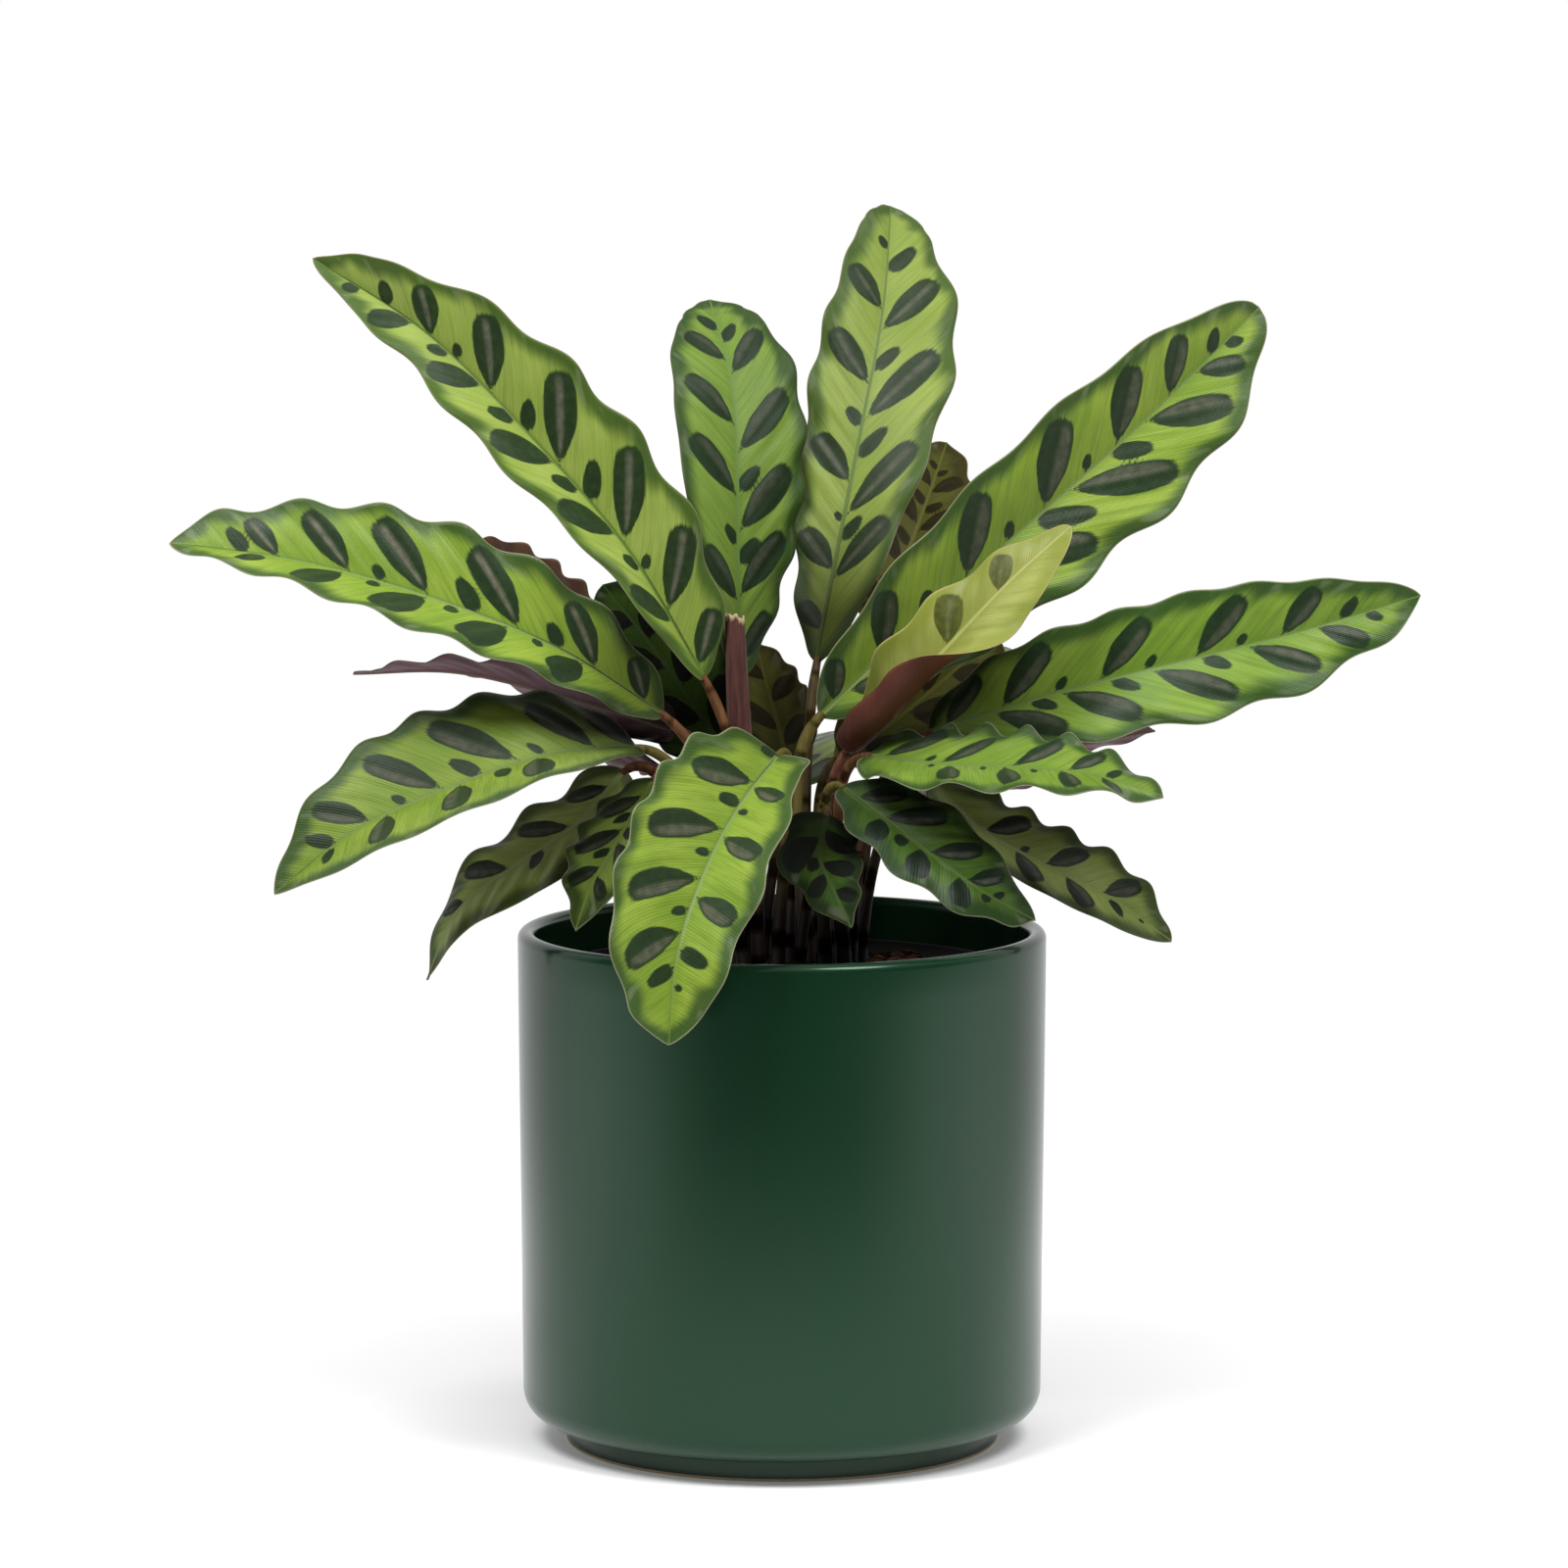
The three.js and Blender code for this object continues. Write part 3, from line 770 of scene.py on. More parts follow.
# Ground, light patches, dark streaks, margin, blotches, their sheen, rib, edge, roughness and gloss.
paints = {
    "fresh": ("#88a239", "#9fb546", "#58802b", "#3b562a", "#293a24", "#7c7867", "#7f9454", "#a19d7c",
              0.32, 0.38),
    "bright": ("#7c9a35", "#91ab43", "#4e7a2b", "#365327", "#253722", "#757163", "#768e49", "#a5a182",
               0.32, 0.38),
    "emerald": ("#7a943c", "#829c42", "#4b702c", "#304a24", "#243420", "#66645a", "#6c8844", "#6d6048",
                0.34, 0.25),
    "moss": ("#496924", "#57782b", "#33501e", "#28401c", "#19271a", "#5e6056", "#587232", "#85846a",
             0.34, 0.35),
    # painted shade: a green darkened for the leaves deep inside the plant
    "deep": ("#42621c", "#4f7022", "#2a4414", "#1c2f12", "#0d150a", "#24281a", "#4c6330", "#6c6c50",
             0.5, 0.15),
    "lime": ("#96ab49", "#a6b85a", "#6c8937", "#445f27", "#293a22", "#757364", "#6a823c", "#8a8462",
             0.34, 0.38),
    "olive": ("#647a2e", "#768c3a", "#485e22", "#2d3e1a", "#171f12", "#5c5c50", "#667a3a", "#7d775c",
              0.34, 0.22),
    "sage": ("#869648", "#96a658", "#64773a", "#3c4c26", "#1c2417", "#5c5c50", "#86955a", "#7d775c",
             0.34, 0.22),
    "bronze": ("#5c5f26", "#6c6e2e", "#46481a", "#403c18", "#2c2710", "#3e381e", "#6c6c34", "#8f8768",
               0.4, 0.12),
    "shade": ("#27371a", "#324420", "#1b2a13", "#162312", "#0e150d", "#2c2e26", "#374823", "#6f6a50",
              0.5, 0.15),
    "young": ("#8d9345", "#b2b666", "#878f3e", "#8b953f", "#4e5226", "#777b52", "#b0b468", "#b7a070",
              0.34, 0.38),
}

unders = {  # ground, light patches and rib
    "maroon": ("#471f29", "#5e3540", "#65503f"),
    "brown": ("#4e3527", "#624735", "#64563a"),
    "young": ("#5c3025", "#744636", "#74503c"),
}

skin = {
    "veins": 1.15,  # mm from one fine vein to the next
    "underVeins": 1.5,
    "band": 4.6,  # mean width of the dark margin
    "bandWander": 10.0,
    "bandFray": 1.6,
    "bandEdge": (3.0, -2.6),
    "glimmer": "#a5ab8e",  # pale glints in that margin
    "sheenMiddle": (0.36, 0.04),  # places across a blotch between which its sheen grows
    "sheenSide": (-0.12, 0.3),
    "shade": "#6b6a4a",  # what painted shade multiplies a leaf's colour by
    # and what painted shade multiplies an underside's colour by
    "underShade": "#6e5a4e",
}


def upperMaterial(name):
    fresh, light, streaks, margin, dark, sheen, rib, rim, roughness, gloss = paints[name]
    material, place = newMaterial(name + "Blade")
    v, across, seed = place.split("veins")
    inside, sheenPlace, edge = place.split("marks")
    shade, ribHalf, glint = place.split("growth")
    y = across.size()

    streak = (v * 0.9).joined(across * 0.075, seed).grain(1.0, 3.0, 0.6)
    feather = (v * 0.32).joined(across * 0.03, seed + 7.0).grain(1.0, 2.0)
    patch = place.grain(38.0, 2.0)
    dapple = place.grain(330.0)
    lines = (v + streak * 0.7).wave(skin["veins"])

    ground = patch.between(0.3, 0.7).paint(fresh, light)
    # the last of these darkens the ground within a few mm of the rib: painted shade beside it
    for share in (feather.between(0.45, 0.72) * 0.3, streak.between(0.46, 0.68) * 0.38, lines * 0.22,
                  y.between(3.5, 0.5) * 0.25):
        ground = share.paint(ground, streaks)

    slow = (v * 0.075).joined(across * 0.02, seed + 2.0).grain(1.0, 1.0)
    bandWidth = skin["band"] + (slow - 0.5) * skin["bandWander"] + (streak - 0.5) * skin["bandFray"]
    band = (edge - bandWidth).between(*skin["bandEdge"])
    ground = (band * 0.92).paint(ground, margin)
    glimmer = (v * 0.11).joined(across * 0.12, seed + 4.0).grain(1.0, 1.0).between(0.56, 0.7)
    ground = (glimmer * band * edge.between(0.3, 1.4) * 0.22).paint(ground, skin["glimmer"])

    blotch = (inside + (streak - 0.5) * 0.9 + (dapple - 0.5) * 0.3).between(-0.3, 0.34)
    # painted sheen on the large blotches, partly also their own paler colour: a line along the middle where
    # glint is below 0, the tip side where it is above
    middle = sheenPlace.size().between(*skin["sheenMiddle"]) * (0.0 - glint).positive()
    aside = sheenPlace.between(*skin["sheenSide"]) * glint.positive()
    paintedSheen = (middle + aside) * inside.between(0.2, 1.6)
    paintedSheen = paintedSheen * (0.65 + (dapple - 0.5) * 1.3 + (streak - 0.5) * 0.7).positive()
    blotchColour = (dapple.between(0.35, 0.75) * 0.25).paint(dark, margin)
    colour = blotch.paint(ground, paintedSheen.paint(blotchColour, sheen))
    colour = (y - ribHalf).between(0.3, -0.2).paint(colour, rib)
    colour = (edge.between(0.5, 0.15) * 0.75).paint(colour, rim)
    # painted shade: the colour darkened towards the base and all over, where other leaves shade the blade
    colour = shade.paint(colour, skin["shade"], "MULTIPLY")

    relief = lines * 0.3 + streak * 0.45 + dapple * 0.25
    rough = roughness + (dapple - 0.5) * 0.12 + paintedSheen * 0.08 + shade * 0.25
    return finishMaterial(material, place, colour, rough, relief.bump(0.4, 0.3), gloss, {"IOR": 1.33})


def underMaterial(name):
    ground, light, rib = unders[name]
    material, place = newMaterial(name + "Underside")
    v, across, seed = place.split("veins")
    shade, ribHalf = place.split("growth")[:2]
    streak = (v * 0.9).joined(across * 0.08, seed).grain(1.0, 3.0, 0.6)
    patch = place.grain(40.0, 2.0)
    lines = (v + streak * 1.0).wave(skin["underVeins"])
    colour = patch.between(0.3, 0.75).paint(ground, light)
    colour = (lines * 0.25).paint(colour, ground)
    colour = (across.size() - ribHalf).between(0.5, -0.3).paint(colour, rib)
    # painted shade on the underside, darker towards the base
    colour = shade.paint(colour, skin["underShade"], "MULTIPLY")
    relief = (lines * 0.4 + streak * 0.6).bump(0.5, 0.3)
    return finishMaterial(material, place, colour, 0.5 + (streak - 0.5) * 0.15, relief, 0.25)


def makeBlade(name, leaf, index, materials):
    tables = bladeTables(leaf)
    length = tables["length"]
    shape = slab(blade["fineGrid"] if leaf["fine"] else blade["coarseGrid"])
    for face in shape.faces:
        face.material_index = 1 if face.normal.z < -0.5 else 0
    piece = newPiece("blade_" + name, shape, materials, ["leaf_" + name],
                     "young_blade" if leaf["paint"] == "young" else "leaf_blade")
    flat = placesOf(piece.data)
    s = (flat[:, 0] + 1) / 2
    t = -np.sign(flat[:, 1]) * np.abs(flat[:, 1]) ** blade["rowPower"]
    upper = flat[:, 2] > 0.5

    rightSide = t > 0
    a = np.abs(t)
    half = halfAt(tables, s, rightSide)
    share = readTable(tables, "share", s)
    y = a * half
    v = s * length - veinRun(leaf, rightSide, y)
    roll = onSide(leaf, "roll", rightSide) * ease(s, blade["rollTo"], blade["rollFrom"])
    curl = np.radians(leaf["curl"] + roll)
    fold = math.radians(leaf["fold"])
    tilt = fold + curl * a
    lateral = half / curl * (np.sin(tilt) - math.sin(fold))
    rise = -half / curl * (np.cos(tilt) - math.cos(fold))

    along = v / length + veinRun(leaf, rightSide, half) / length
    turns = onSide(leaf, "ruffles", rightSide) * along + onSide(leaf, "phases", rightSide)
    ruffle = onSide(leaf, "ruffle", rightSide) * a ** blade["rufflePower"]
    rise += ruffle * np.sqrt(share) * np.sin(2 * np.pi * turns)
    rise += blade["pucker"] * np.sin(math.pi * a) * share * np.sin(2 * np.pi * v / blade["puckerPeriod"])

    sign = np.where(rightSide, 1.0, -1.0)
    rightWay, upWay = readTable(tables, "right", s), unit(readTable(tables, "up", s))
    places = readTable(tables, "rib", s) + rightWay * (sign * lateral)[:, None] + upWay * rise[:, None]
    outward = upWay * np.cos(tilt)[:, None] - rightWay * (sign * np.sin(tilt))[:, None]
    ribHalf, ribTop, ribUnder = (blade[part][0] * (1 - blade[part][1] * s)
                                 for part in ("ribHalf", "ribTop", "ribUnder"))
    ribShape = np.exp(-(y / ribHalf) ** 2)
    thick = blade["edgeThickness"] + (blade["thickness"] - blade["edgeThickness"]) * ease(1 - a, 0, 0.5)
    height = np.where(upper, thick / 2 + ribTop * ribShape, -thick / 2 - ribUnder * ribShape)
    putPlaces(piece.data, places + outward * height[:, None])

    inside, sheenPlace = markBlade(leaf, tables, v, y, rightSide)
    slope = np.abs(np.gradient(tables["halves"][0] + tables["halves"][1]) / 2) * blade["tableSteps"] / length
    edge = (1 - a) * half / np.sqrt(1 + np.interp(s, tables["s"], slope) ** 2)
    # painted shade, strongest at the base and fading along the blade
    atBase, goesTo, allOver = leaf["shade"]
    shade = np.clip(allOver + atBase * ease(s, goesTo, 0.0), 0, 1)
    keepValues(piece.data, "veins", v, y * sign, index * 3)
    keepValues(piece.data, "marks", inside, sheenPlace, edge)
    keepValues(piece.data, "growth", shade, ribHalf * 0.85, leaf["glint"])


# Leaf stems

stem = {
    "foot": 152.0,
    "radius": 1.8,
    "footRadius": 2.7,
    "footEnd": 0.42,  # the foot narrows up to this share of the stem
    "neckFrom": 0.86,  # and the top narrows from this one on
    "neckLess": 0.25,
    "intoBlade": 1.5,
    "shadedFoot": (0.64, 0.2),  # shares of the stem between which painted shade darkens it towards its foot, down in the pot
    "rise": 0.45,
    "runOut": 0.25,
    "sides": 12,
    "steps": 46,
}

stemPaints = {  # body, light streaks and the painted shade at the foot
    "olive": ("#4c4419", "#5f5626", "#170f07"),
    "brown": ("#4a2c17", "#5e4024", "#160c06"),
    "orange": ("#54341b", "#694628", "#1a0e07"),
    "pink": ("#5a3426", "#704a36", "#20110b"),
    "dark": ("#34270f", "#4a3b1d", "#0e0905"),
}


def stemMaterial(name):
    body, light, dark = stemPaints[name]
    material, place = newMaterial(name + "Stem")
    along = place.split("stemPlace")[0]
    streak = place.stretched((1, 1, 0.012)).grain(900.0)
    patch = place.grain(90.0, 2.0)
    colour = streak.between(0.35, 0.7).paint(body, light)
    # painted shade towards the stem's foot, inside the pot
    colour = along.between(*stem["shadedFoot"]).paint(colour, dark)
    colour = (patch.between(0.5, 0.9) * 0.2).paint(colour, dark)
    roughness = 0.6 + (patch - 0.5) * 0.1
    return finishMaterial(material, place, colour, roughness, streak.bump(0.35, 0.2), 0.15)


def stemPath(leaf):
    rib = np.array(leaf["rib"], float)
    along = unit(rib[1] - rib[0])
    start = np.array([*leaf["foot"], stem["foot"]], float)
    end = rib[0] + along * stem["intoBlade"]
    reach = np.linalg.norm(end - start)
    before = start + np.array([0, 0, reach * stem["rise"]])
    after = end - along * reach * stem["runOut"]
    f = np.linspace(0, 1, stem["steps"] + 1)[:, None]
    return start * (1 - f) ** 3 + before * 3 * f * (1 - f) ** 2 + after * 3 * f * f * (1 - f) + end * f ** 3


def sweep(path, radii, sides):  # a closed tube along the path
    shape = bmesh.new()
    bmesh.ops.create_circle(shape, cap_ends=True, segments=sides, radius=1)
    faces = list(shape.faces)
    for k in range(len(path) - 1):
        grown = bmesh.ops.extrude_face_region(shape, geom=faces)["geom"]
        faces = [g for g in grown if isinstance(g, bmesh.types.BMFace)]
        bmesh.ops.translate(shape, verts=faces[0].verts, vec=(0, 0, 1))
    bmesh.ops.recalc_face_normals(shape, faces=shape.faces)
    along = unit(np.gradient(path, axis=0))
    sideWay = unit(np.cross(along, (0.0, 1.0, 0.02)))
    upWay = np.cross(sideWay, along)
    for point in shape.verts:
        x, y, ring = point.co.x, point.co.y, round(point.co.z)
        place = path[ring] + (sideWay[ring] * x - upWay[ring] * y) * radii[ring]
        point.co = Vector(place) * mm
    return shape


def makeStem(name, leaf, material):
    path = stemPath(leaf)
    f = np.linspace(0, 1, len(path))
    radii = stem["radius"] + (stem["footRadius"] - stem["radius"]) * ease(f, stem["footEnd"], 0.0)
    radii = leaf["stemSize"] * radii * (1 - stem["neckLess"] * ease(f, stem["neckFrom"], 1.0))
    shape = sweep(path, radii, stem["sides"])
    piece = newPiece("stalk_" + name, shape, [material], ["stem_" + name], "leaf_stem")
    places = placesOf(piece.data) / mm
    nearest = np.argmin(((places[:, None] - path[None]) ** 2).sum(2), 1)
    keepValues(piece.data, "stemPlace", nearest / (len(path) - 1))


# Every leaf: where its stem leaves the potting mix, and its rib from base to tip

leaves = {
    "upper_left": dict(
        foot=(-8, -4), width=48, side=1.15, widest=0.51, base=2.4, blunt=1.6, acute=0.78,
        face=(0.64, -0.72, 0.27), faceTip=(-0.10, -0.97, 0.24), fold=31, curl=-4, ruffles=(6, 6.32),
        phases=(0.3, 0.68), scallop=(2.2, 1.4), bumps=((1, 0.94, 2.4, 0.035), (0, 0.9, 1.6, 0.04)),
        stem="orange", paint="lime", shade=(0.08, 0.3, 0), glint=-0.95, lean=(1.45, 1.0), thick=(1.2, 1.08),
        dull=0,
        large=((0.11, 0.29, 0.45, 0.63, 0.79), (0.02, 0.13, 0.27, 0.44, 0.61, 0.75)),
        medium=((0.9,), (0.84,)), small=((0.22, 0.39, 0.55, 0.71), (0.36, 0.52)),
        dot=((0.91,), (0.21, 0.69)),
        rib=[(-26.4, -8.1, 262.1), (-51.4, -14, 305.2), (-82.8, -16, 342.7), (-118.6, -12.5, 378.3),
             (-157.8, -2.3, 403.7)]),
    "left": dict(
        foot=(-13, -8), width=52, side=1.02, widest=0.54, base=1.6, blunt=1.6, acute=0.6,
        face=(0.58, -0.73, 0.35), faceTip=(0.03, -0.59, 0.81), fold=30, curl=-8, ruffles=(6.92, 6.88),
        phases=(0.03, 0.89), scallop=(0.3, 1.0), ruffle=(2.2, 1.3), bumps=((1, 0.93, 1.6, 0.04),),
        stem="orange", shade=(0.75, 0.35, 0), glint=-0.95, lean=(0.8, 1.09), thick=(1.3, 1.0), dull=0,
        large=((0.19, 0.35, 0.51, 0.67), (0.04, 0.16, 0.325, 0.505, 0.655, 0.79)),
        medium=((0.82,), (0.85,)), small=((), (0.24, 0.41)), dot=((0.28, 0.45, 0.6), (0.59,)),
        rib=[(-40.6, -13.4, 250.6), (-75.5, -29.7, 274.4), (-116.3, -38.2, 291.7), (-160.1, -39.2, 304.1),
             (-204.2, -33.3, 310)]),
    "left_back": dict(
        foot=(-15.4, 2.4), width=35, widest=0.3, base=4, face=(0, 0.75, 0.66), faceTip=(0, 0.05, 1),
        fine=False, stem="brown", paint="shade", shade=(0.95, 0.6, 0),
        rib=[(-36, 2, 244), (-70, 12, 253), (-111, 26, 261), (-148, 40, 259)]),
    "lower_left": dict(
        foot=(-14, -15), width=60, side=0.99, widest=0.54, base=3, blunt=1.5, acute=0.81,
        face=(0.21, -0.34, 0.92), faceTip=(-0.40, -0.66, 0.63), fold=27, curl=-8, ruffles=(5.07, 6.27),
        phases=(0.48, 0.13), scallop=(0.4, 1.2), ruffle=(1.0, 0.5), bumps=((0, 0.78, 4.0, 0.14),),
        stem="olive", shade=(0.7, 0.33, 0.26), lean=(0.35, 0.88), thick=(0.84, 0.84),
        large=((0.28, 0.48, 0.67), (0.0, 0.11, 0.32, 0.52, 0.71)), medium=((0.83,), (0.81,)),
        small=((0.37,), (0.42,)), dot=((), (0.25, 0.61)),
        rib=[(-48.9, -23.6, 240.3), (-78.1, -42.8, 239.8), (-109.4, -55.3, 230.5), (-140.8, -62.4, 216.9),
             (-167.8, -65.7, 196.4)]),
    "low_left": dict(
        foot=(-19, -6), width=35, side=0.98, widest=0.43, base=2.4, blunt=2, acute=1.15,
        face=(-0.1, -0.7, 0.7), faceTip=(-0.8, -0.42, 0.44), fold=8, ruffles=(5, 3.6), phases=(0, 0.03),
        scallop=(1.4, 1.8), stem="brown", paint="sage", shade=(0.1, 0.2, 0), glint=0.7, lean=(1.0, 1.2),
        thick=(1.1, 1.1),
        large=((), (0.07, 0.26, 0.51, 0.7)), small=((0.39,), ()),
        rib=[(-53, -10, 231), (-69, -18, 214), (-90, -23, 200), (-109, -23, 185), (-120, -20, 161)]),
    "low_left_small": dict(
        foot=(-12, -21), width=33, widest=0.44, base=2, blunt=1.9, acute=1, face=(-0.43, -0.55, 0.71),
        faceTip=(-0.53, -0.8, 0.3), fold=12, ruffles=(5.5, 5.4), phases=(0.5, 0.07), scallop=(0.4, 1.2),
        ruffle=(0.6, 0.6), stem="brown", paint="olive", shade=(0.4, 0.4, 0.05), glint=0.3,
        large=((0.2, 0.45, 0.68), (0.12, 0.36, 0.62)), small=((0.35,), (0.25, 0.5)),
        rib=[(-42.5, -32, 231), (-55, -48, 211), (-63, -56, 198), (-68.5, -58, 183)]),
    "front": dict(
        foot=(-2, -22), width=57, side=1.15, widest=0.57, base=2.5, blunt=2.1, acute=0.74,
        face=(0.14, -0.59, 0.79), faceTip=(0.08, -0.97, 0.23), fold=32, curl=5, ruffles=(3.96, 6.8),
        phases=(0.97, 0.86), scallop=(1.4, 1.3),
        bumps=((0, 0.05, 4, 0.035), (0, 0.94, 1.7, 0.05), (1, 0.94, 1.7, 0.05)), stem="olive",
        shade=(0.15, 0.25, 0.08), glint=0.6, lean=(0.45, 0.66), thick=(0.82, 0.82),
        large=((0.16, 0.37, 0.58), (0.14, 0.34, 0.52, 0.69)), medium=((0.74,), (0.0, 0.79)),
        small=((), (0.23,)), dot=((0.26, 0.84), (0.43, 0.62)),
        rib=[(-1.2, -41.9, 239.8), (-14.1, -64.8, 225.2), (-25.3, -86.1, 206), (-33.8, -102.2, 182),
             (-36.9, -109.5, 152.8)]),
    "centre_small": dict(
        foot=(5, -24), width=27, widest=0.41, base=2.6, blunt=1.6, acute=0.9, face=(0.2, -0.75, 0.63),
        faceTip=(-0.14, -0.84, 0.52), fold=12, ruffles=(4.5, 2.9), phases=(0.66, 0.02), scallop=(1.1, 1.6),
        ruffle=(0.6, 0.6), stem="dark", paint="deep", shade=(0.85, 0.95, 0.26), glint=0.3,
        thick=(1.35, 1.35),
        large=((0.12, 0.42, 0.68), (0.2, 0.52)), small=((), (0.38,)),
        rib=[(15, -37, 219.5), (12.5, -48, 207), (16.5, -57, 198), (23, -66, 185)]),
    "low_right": dict(
        foot=(15, -15), width=31, side=0.89, widest=0.47, base=1.8, blunt=1.8, acute=0.85,
        face=(-0.24, -0.65, 0.72), faceTip=(0.53, -0.84, 0.12), fold=16, curl=-13, ruffles=(3.58, 4.3),
        phases=(0.64, 0.33), scallop=(0.6, 1.8), ruffle=(0.8, 0.8), stem="olive", paint="moss",
        shade=(0.35, 0.35, 0.12), glint=0.9, lean=(1.2, 0.5), thick=(1.1, 1.45), dull=1,
        large=((0.09, 0.25, 0.48, 0.66), (0.25, 0.45, 0.63)), small=((0.78,), (0.36, 0.75)),
        rib=[(20, -33.6, 228.2), (33.7, -48.5, 219.5), (49.7, -57.6, 208.1), (67, -58.8, 196),
             (84.4, -49.5, 185.3)]),
    "low_right_back": dict(
        foot=(26, -2), width=34, side=1.02, widest=0.48, base=3.4, blunt=3, acute=0.84,
        face=(0.40, -0.57, 0.72), faceTip=(0.45, -0.66, 0.61), fold=20, ruffles=(6, 5.6),
        phases=(0.22, 0.08), scallop=(1.1, 1.1), ruffle=(1.0, 1.0), stem="dark", paint="sage",
        shade=(0.25, 0.25, 0.33), glint=0.9, lean=(0.9, 0.9), thick=(1.1, 1.1),
        large=((0.25, 0.49, 0.71), (0.38, 0.57)), medium=((), (0.74,)), dot=((0.39,), (0.86,)),
        rib=[(50.5, 2.1, 225.8), (68, -5.3, 210.1), (89.4, -10.2, 198.5), (111.7, -12.3, 187.3),
             (132, -11.8, 172.9)]),
    "right_curly": dict(
        foot=(21.5, -14.3), side=1.1, widest=0.44, base=3.5, blunt=1.5, acute=0.5,
        face=(-0.08, -0.38, 0.92), faceTip=(0.24, -0.36, 0.9), fold=15, curl=-9, ruffles=(6.48, 5.05),
        phases=(0.88, 0.29), scallop=(2.0, 1.2), ruffle=(1.3, 2.2), stem="brown", paint="bright",
        shade=(0.3, 0.3, 0.2), lean=(1.0, 0.3), thick=(0.74, 0.74),
        large=((0.05, 0.26, 0.5, 0.68), (0.3, 0.48, 0.66, 0.79)), medium=((0.8,), ()),
        dot=((0.2,), (0.24, 0.41, 0.57)),
        rib=[(29, -29.7, 238.3), (51.1, -43.7, 237), (76.2, -52.8, 236.9), (102.1, -55.9, 234.9),
             (126.6, -51.6, 227.2)]),
    "right": dict(
        foot=(23, -9), width=45, side=1.02, widest=0.58, base=3.5, blunt=1.5, acute=0.65,
        face=(-0.39, -0.74, 0.56), faceTip=(0.22, -0.98, -0.02), fold=21, curl=-11, ruffles=(7.44, 5.2),
        phases=(0.13, 0.46), scallop=(0.6, 2.0), ruffle=(0.7, 1.2), stem="brown", paint="bright",
        shade=(0.8, 0.35, 0), lean=(1.2, 1.5),
        large=((0.03, 0.15, 0.35, 0.54, 0.71), (0.13, 0.27, 0.45, 0.64, 0.78)), medium=((0.83,), ()),
        small=((), (0.21, 0.37, 0.55, 0.88)), dot=((0.26, 0.44, 0.62), ()),
        rib=[(49.9, -5.8, 243.5), (89.9, -16.4, 257.2), (131.6, -22.7, 268.7), (173.7, -22.4, 279.5),
             (215.1, -13.3, 290.9)]),
    "upper_right": dict(
        foot=(9, -4), width=54, side=1.03, widest=0.62, base=1.9, blunt=2, acute=0.6,
        face=(-0.15, -0.99, 0.03), faceTip=(0.32, -0.95, 0.04), fold=24, curl=-9, ruffles=(5.45, 5.49),
        phases=(0.85, 0.69), scallop=(1.2, 1.9), stem="olive", stemSize=1.2, shade=(0.1, 0.3, 0),
        lean=(1.05, 1.5), thick=(1.0, 1.05),
        large=((0.03, 0.14, 0.33, 0.5, 0.66, 0.78), (0.06, 0.21, 0.37, 0.55, 0.72, 0.84)),
        medium=((0.88,), (0.47,)), small=((0.24,), (0.64, 0.91)), dot=((0.42, 0.59), ()),
        rib=[(13.1, -3.5, 249.1), (49.9, -7.9, 284.8), (88.1, -6.5, 318.8), (126, 1, 352.3),
             (161.9, 14.7, 386.5)]),
    "young": dict(
        foot=(15, -7), width=38, side=1.12, widest=0.43, base=5, blunt=1.6, acute=0.6,
        face=(-0.58, -0.82, 0.01), faceTip=(-0.48, -0.68, 0.56), fold=11, roll=(45, 190),
        ruffles=(4.23, 6.39), phases=(0.93, 0.16), scallop=(1.0, 0.5), ruffle=(0.7, 0.4),
        bumps=((0, 0.0, -13, 0.17), (1, 0.08, 5, 0.14)), stem="pink", paint="young", under="young",
        shade=(0.35, 0.4, 0), glint=-0.8, thick=(1.45, 1.45),
        large=((0.47, 0.7), ()),
        rib=[(23.3, -13.8, 239.6), (40.3, -25.5, 257.8), (57.6, -33.1, 277.6), (76, -36.5, 297.4),
             (96.4, -35.7, 315.9)]),
    "top_right": dict(
        foot=(8, 8), width=49, side=1.15, widest=0.61, base=1.6, blunt=1.75, acute=0.53,
        face=(-0.49, -0.80, 0.35), faceTip=(0.46, -0.69, 0.56), fold=18, ruffles=(6.92, 5.03),
        phases=(0.48, 0.27), scallop=(1.0, 1.2), torn=0.6,
        bumps=((0, 0.93, 1.5, 0.05), (1, 0.94, 1.5, 0.04)), stem="dark", paint="lime",
        shade=(0.9, 0.38, 0.23), glint=-0.7, lean=(0.95, 1.3), thick=(1.12, 1.02),
        large=((0.06, 0.18, 0.36, 0.57, 0.74), (0.16, 0.29, 0.49, 0.69)), medium=((), (0.83,)),
        small=((0.48, 0.89), (0.24, 0.41, 0.6)), dot=((0.28,), ()),
        rib=[(12, 13, 266), (20, 27, 307), (28, 44, 347), (35, 67, 384), (38, 95, 418)]),
    "top_left": dict(
        foot=(-10, 1), width=50, side=1.02, widest=0.48, base=1.6, blunt=3.0, acute=0.55,
        face=(0.84, -0.53, 0.10), faceTip=(0.12, -0.75, 0.65), curl=-14, ruffles=(5.84, 6.42),
        phases=(0.56, 0.21), scallop=(0.6, 0.8), ruffle=(0.6, 0.8), torn=0.9, stem="brown", paint="emerald",
        shade=(0.3, 0.35, 0.1), glint=0.45, lean=(0.9, 1.2), thick=(1.0, 0.97),
        large=((0.18, 0.44, 0.62, 0.8), (0.03, 0.19, 0.35, 0.55, 0.76)), medium=((0.9,), ()),
        small=((0.32,), (0.27, 0.45, 0.86)),
        rib=[(-14.8, 4.2, 261.7), (-15.3, 9.9, 295.8), (-15.5, 19.4, 329.1), (-17.4, 34.5, 359.8),
             (-25, 57, 387)]),
    "back_top": dict(
        foot=(15, 16), width=36, fine=False, stem="olive", paint="bronze", under="brown",
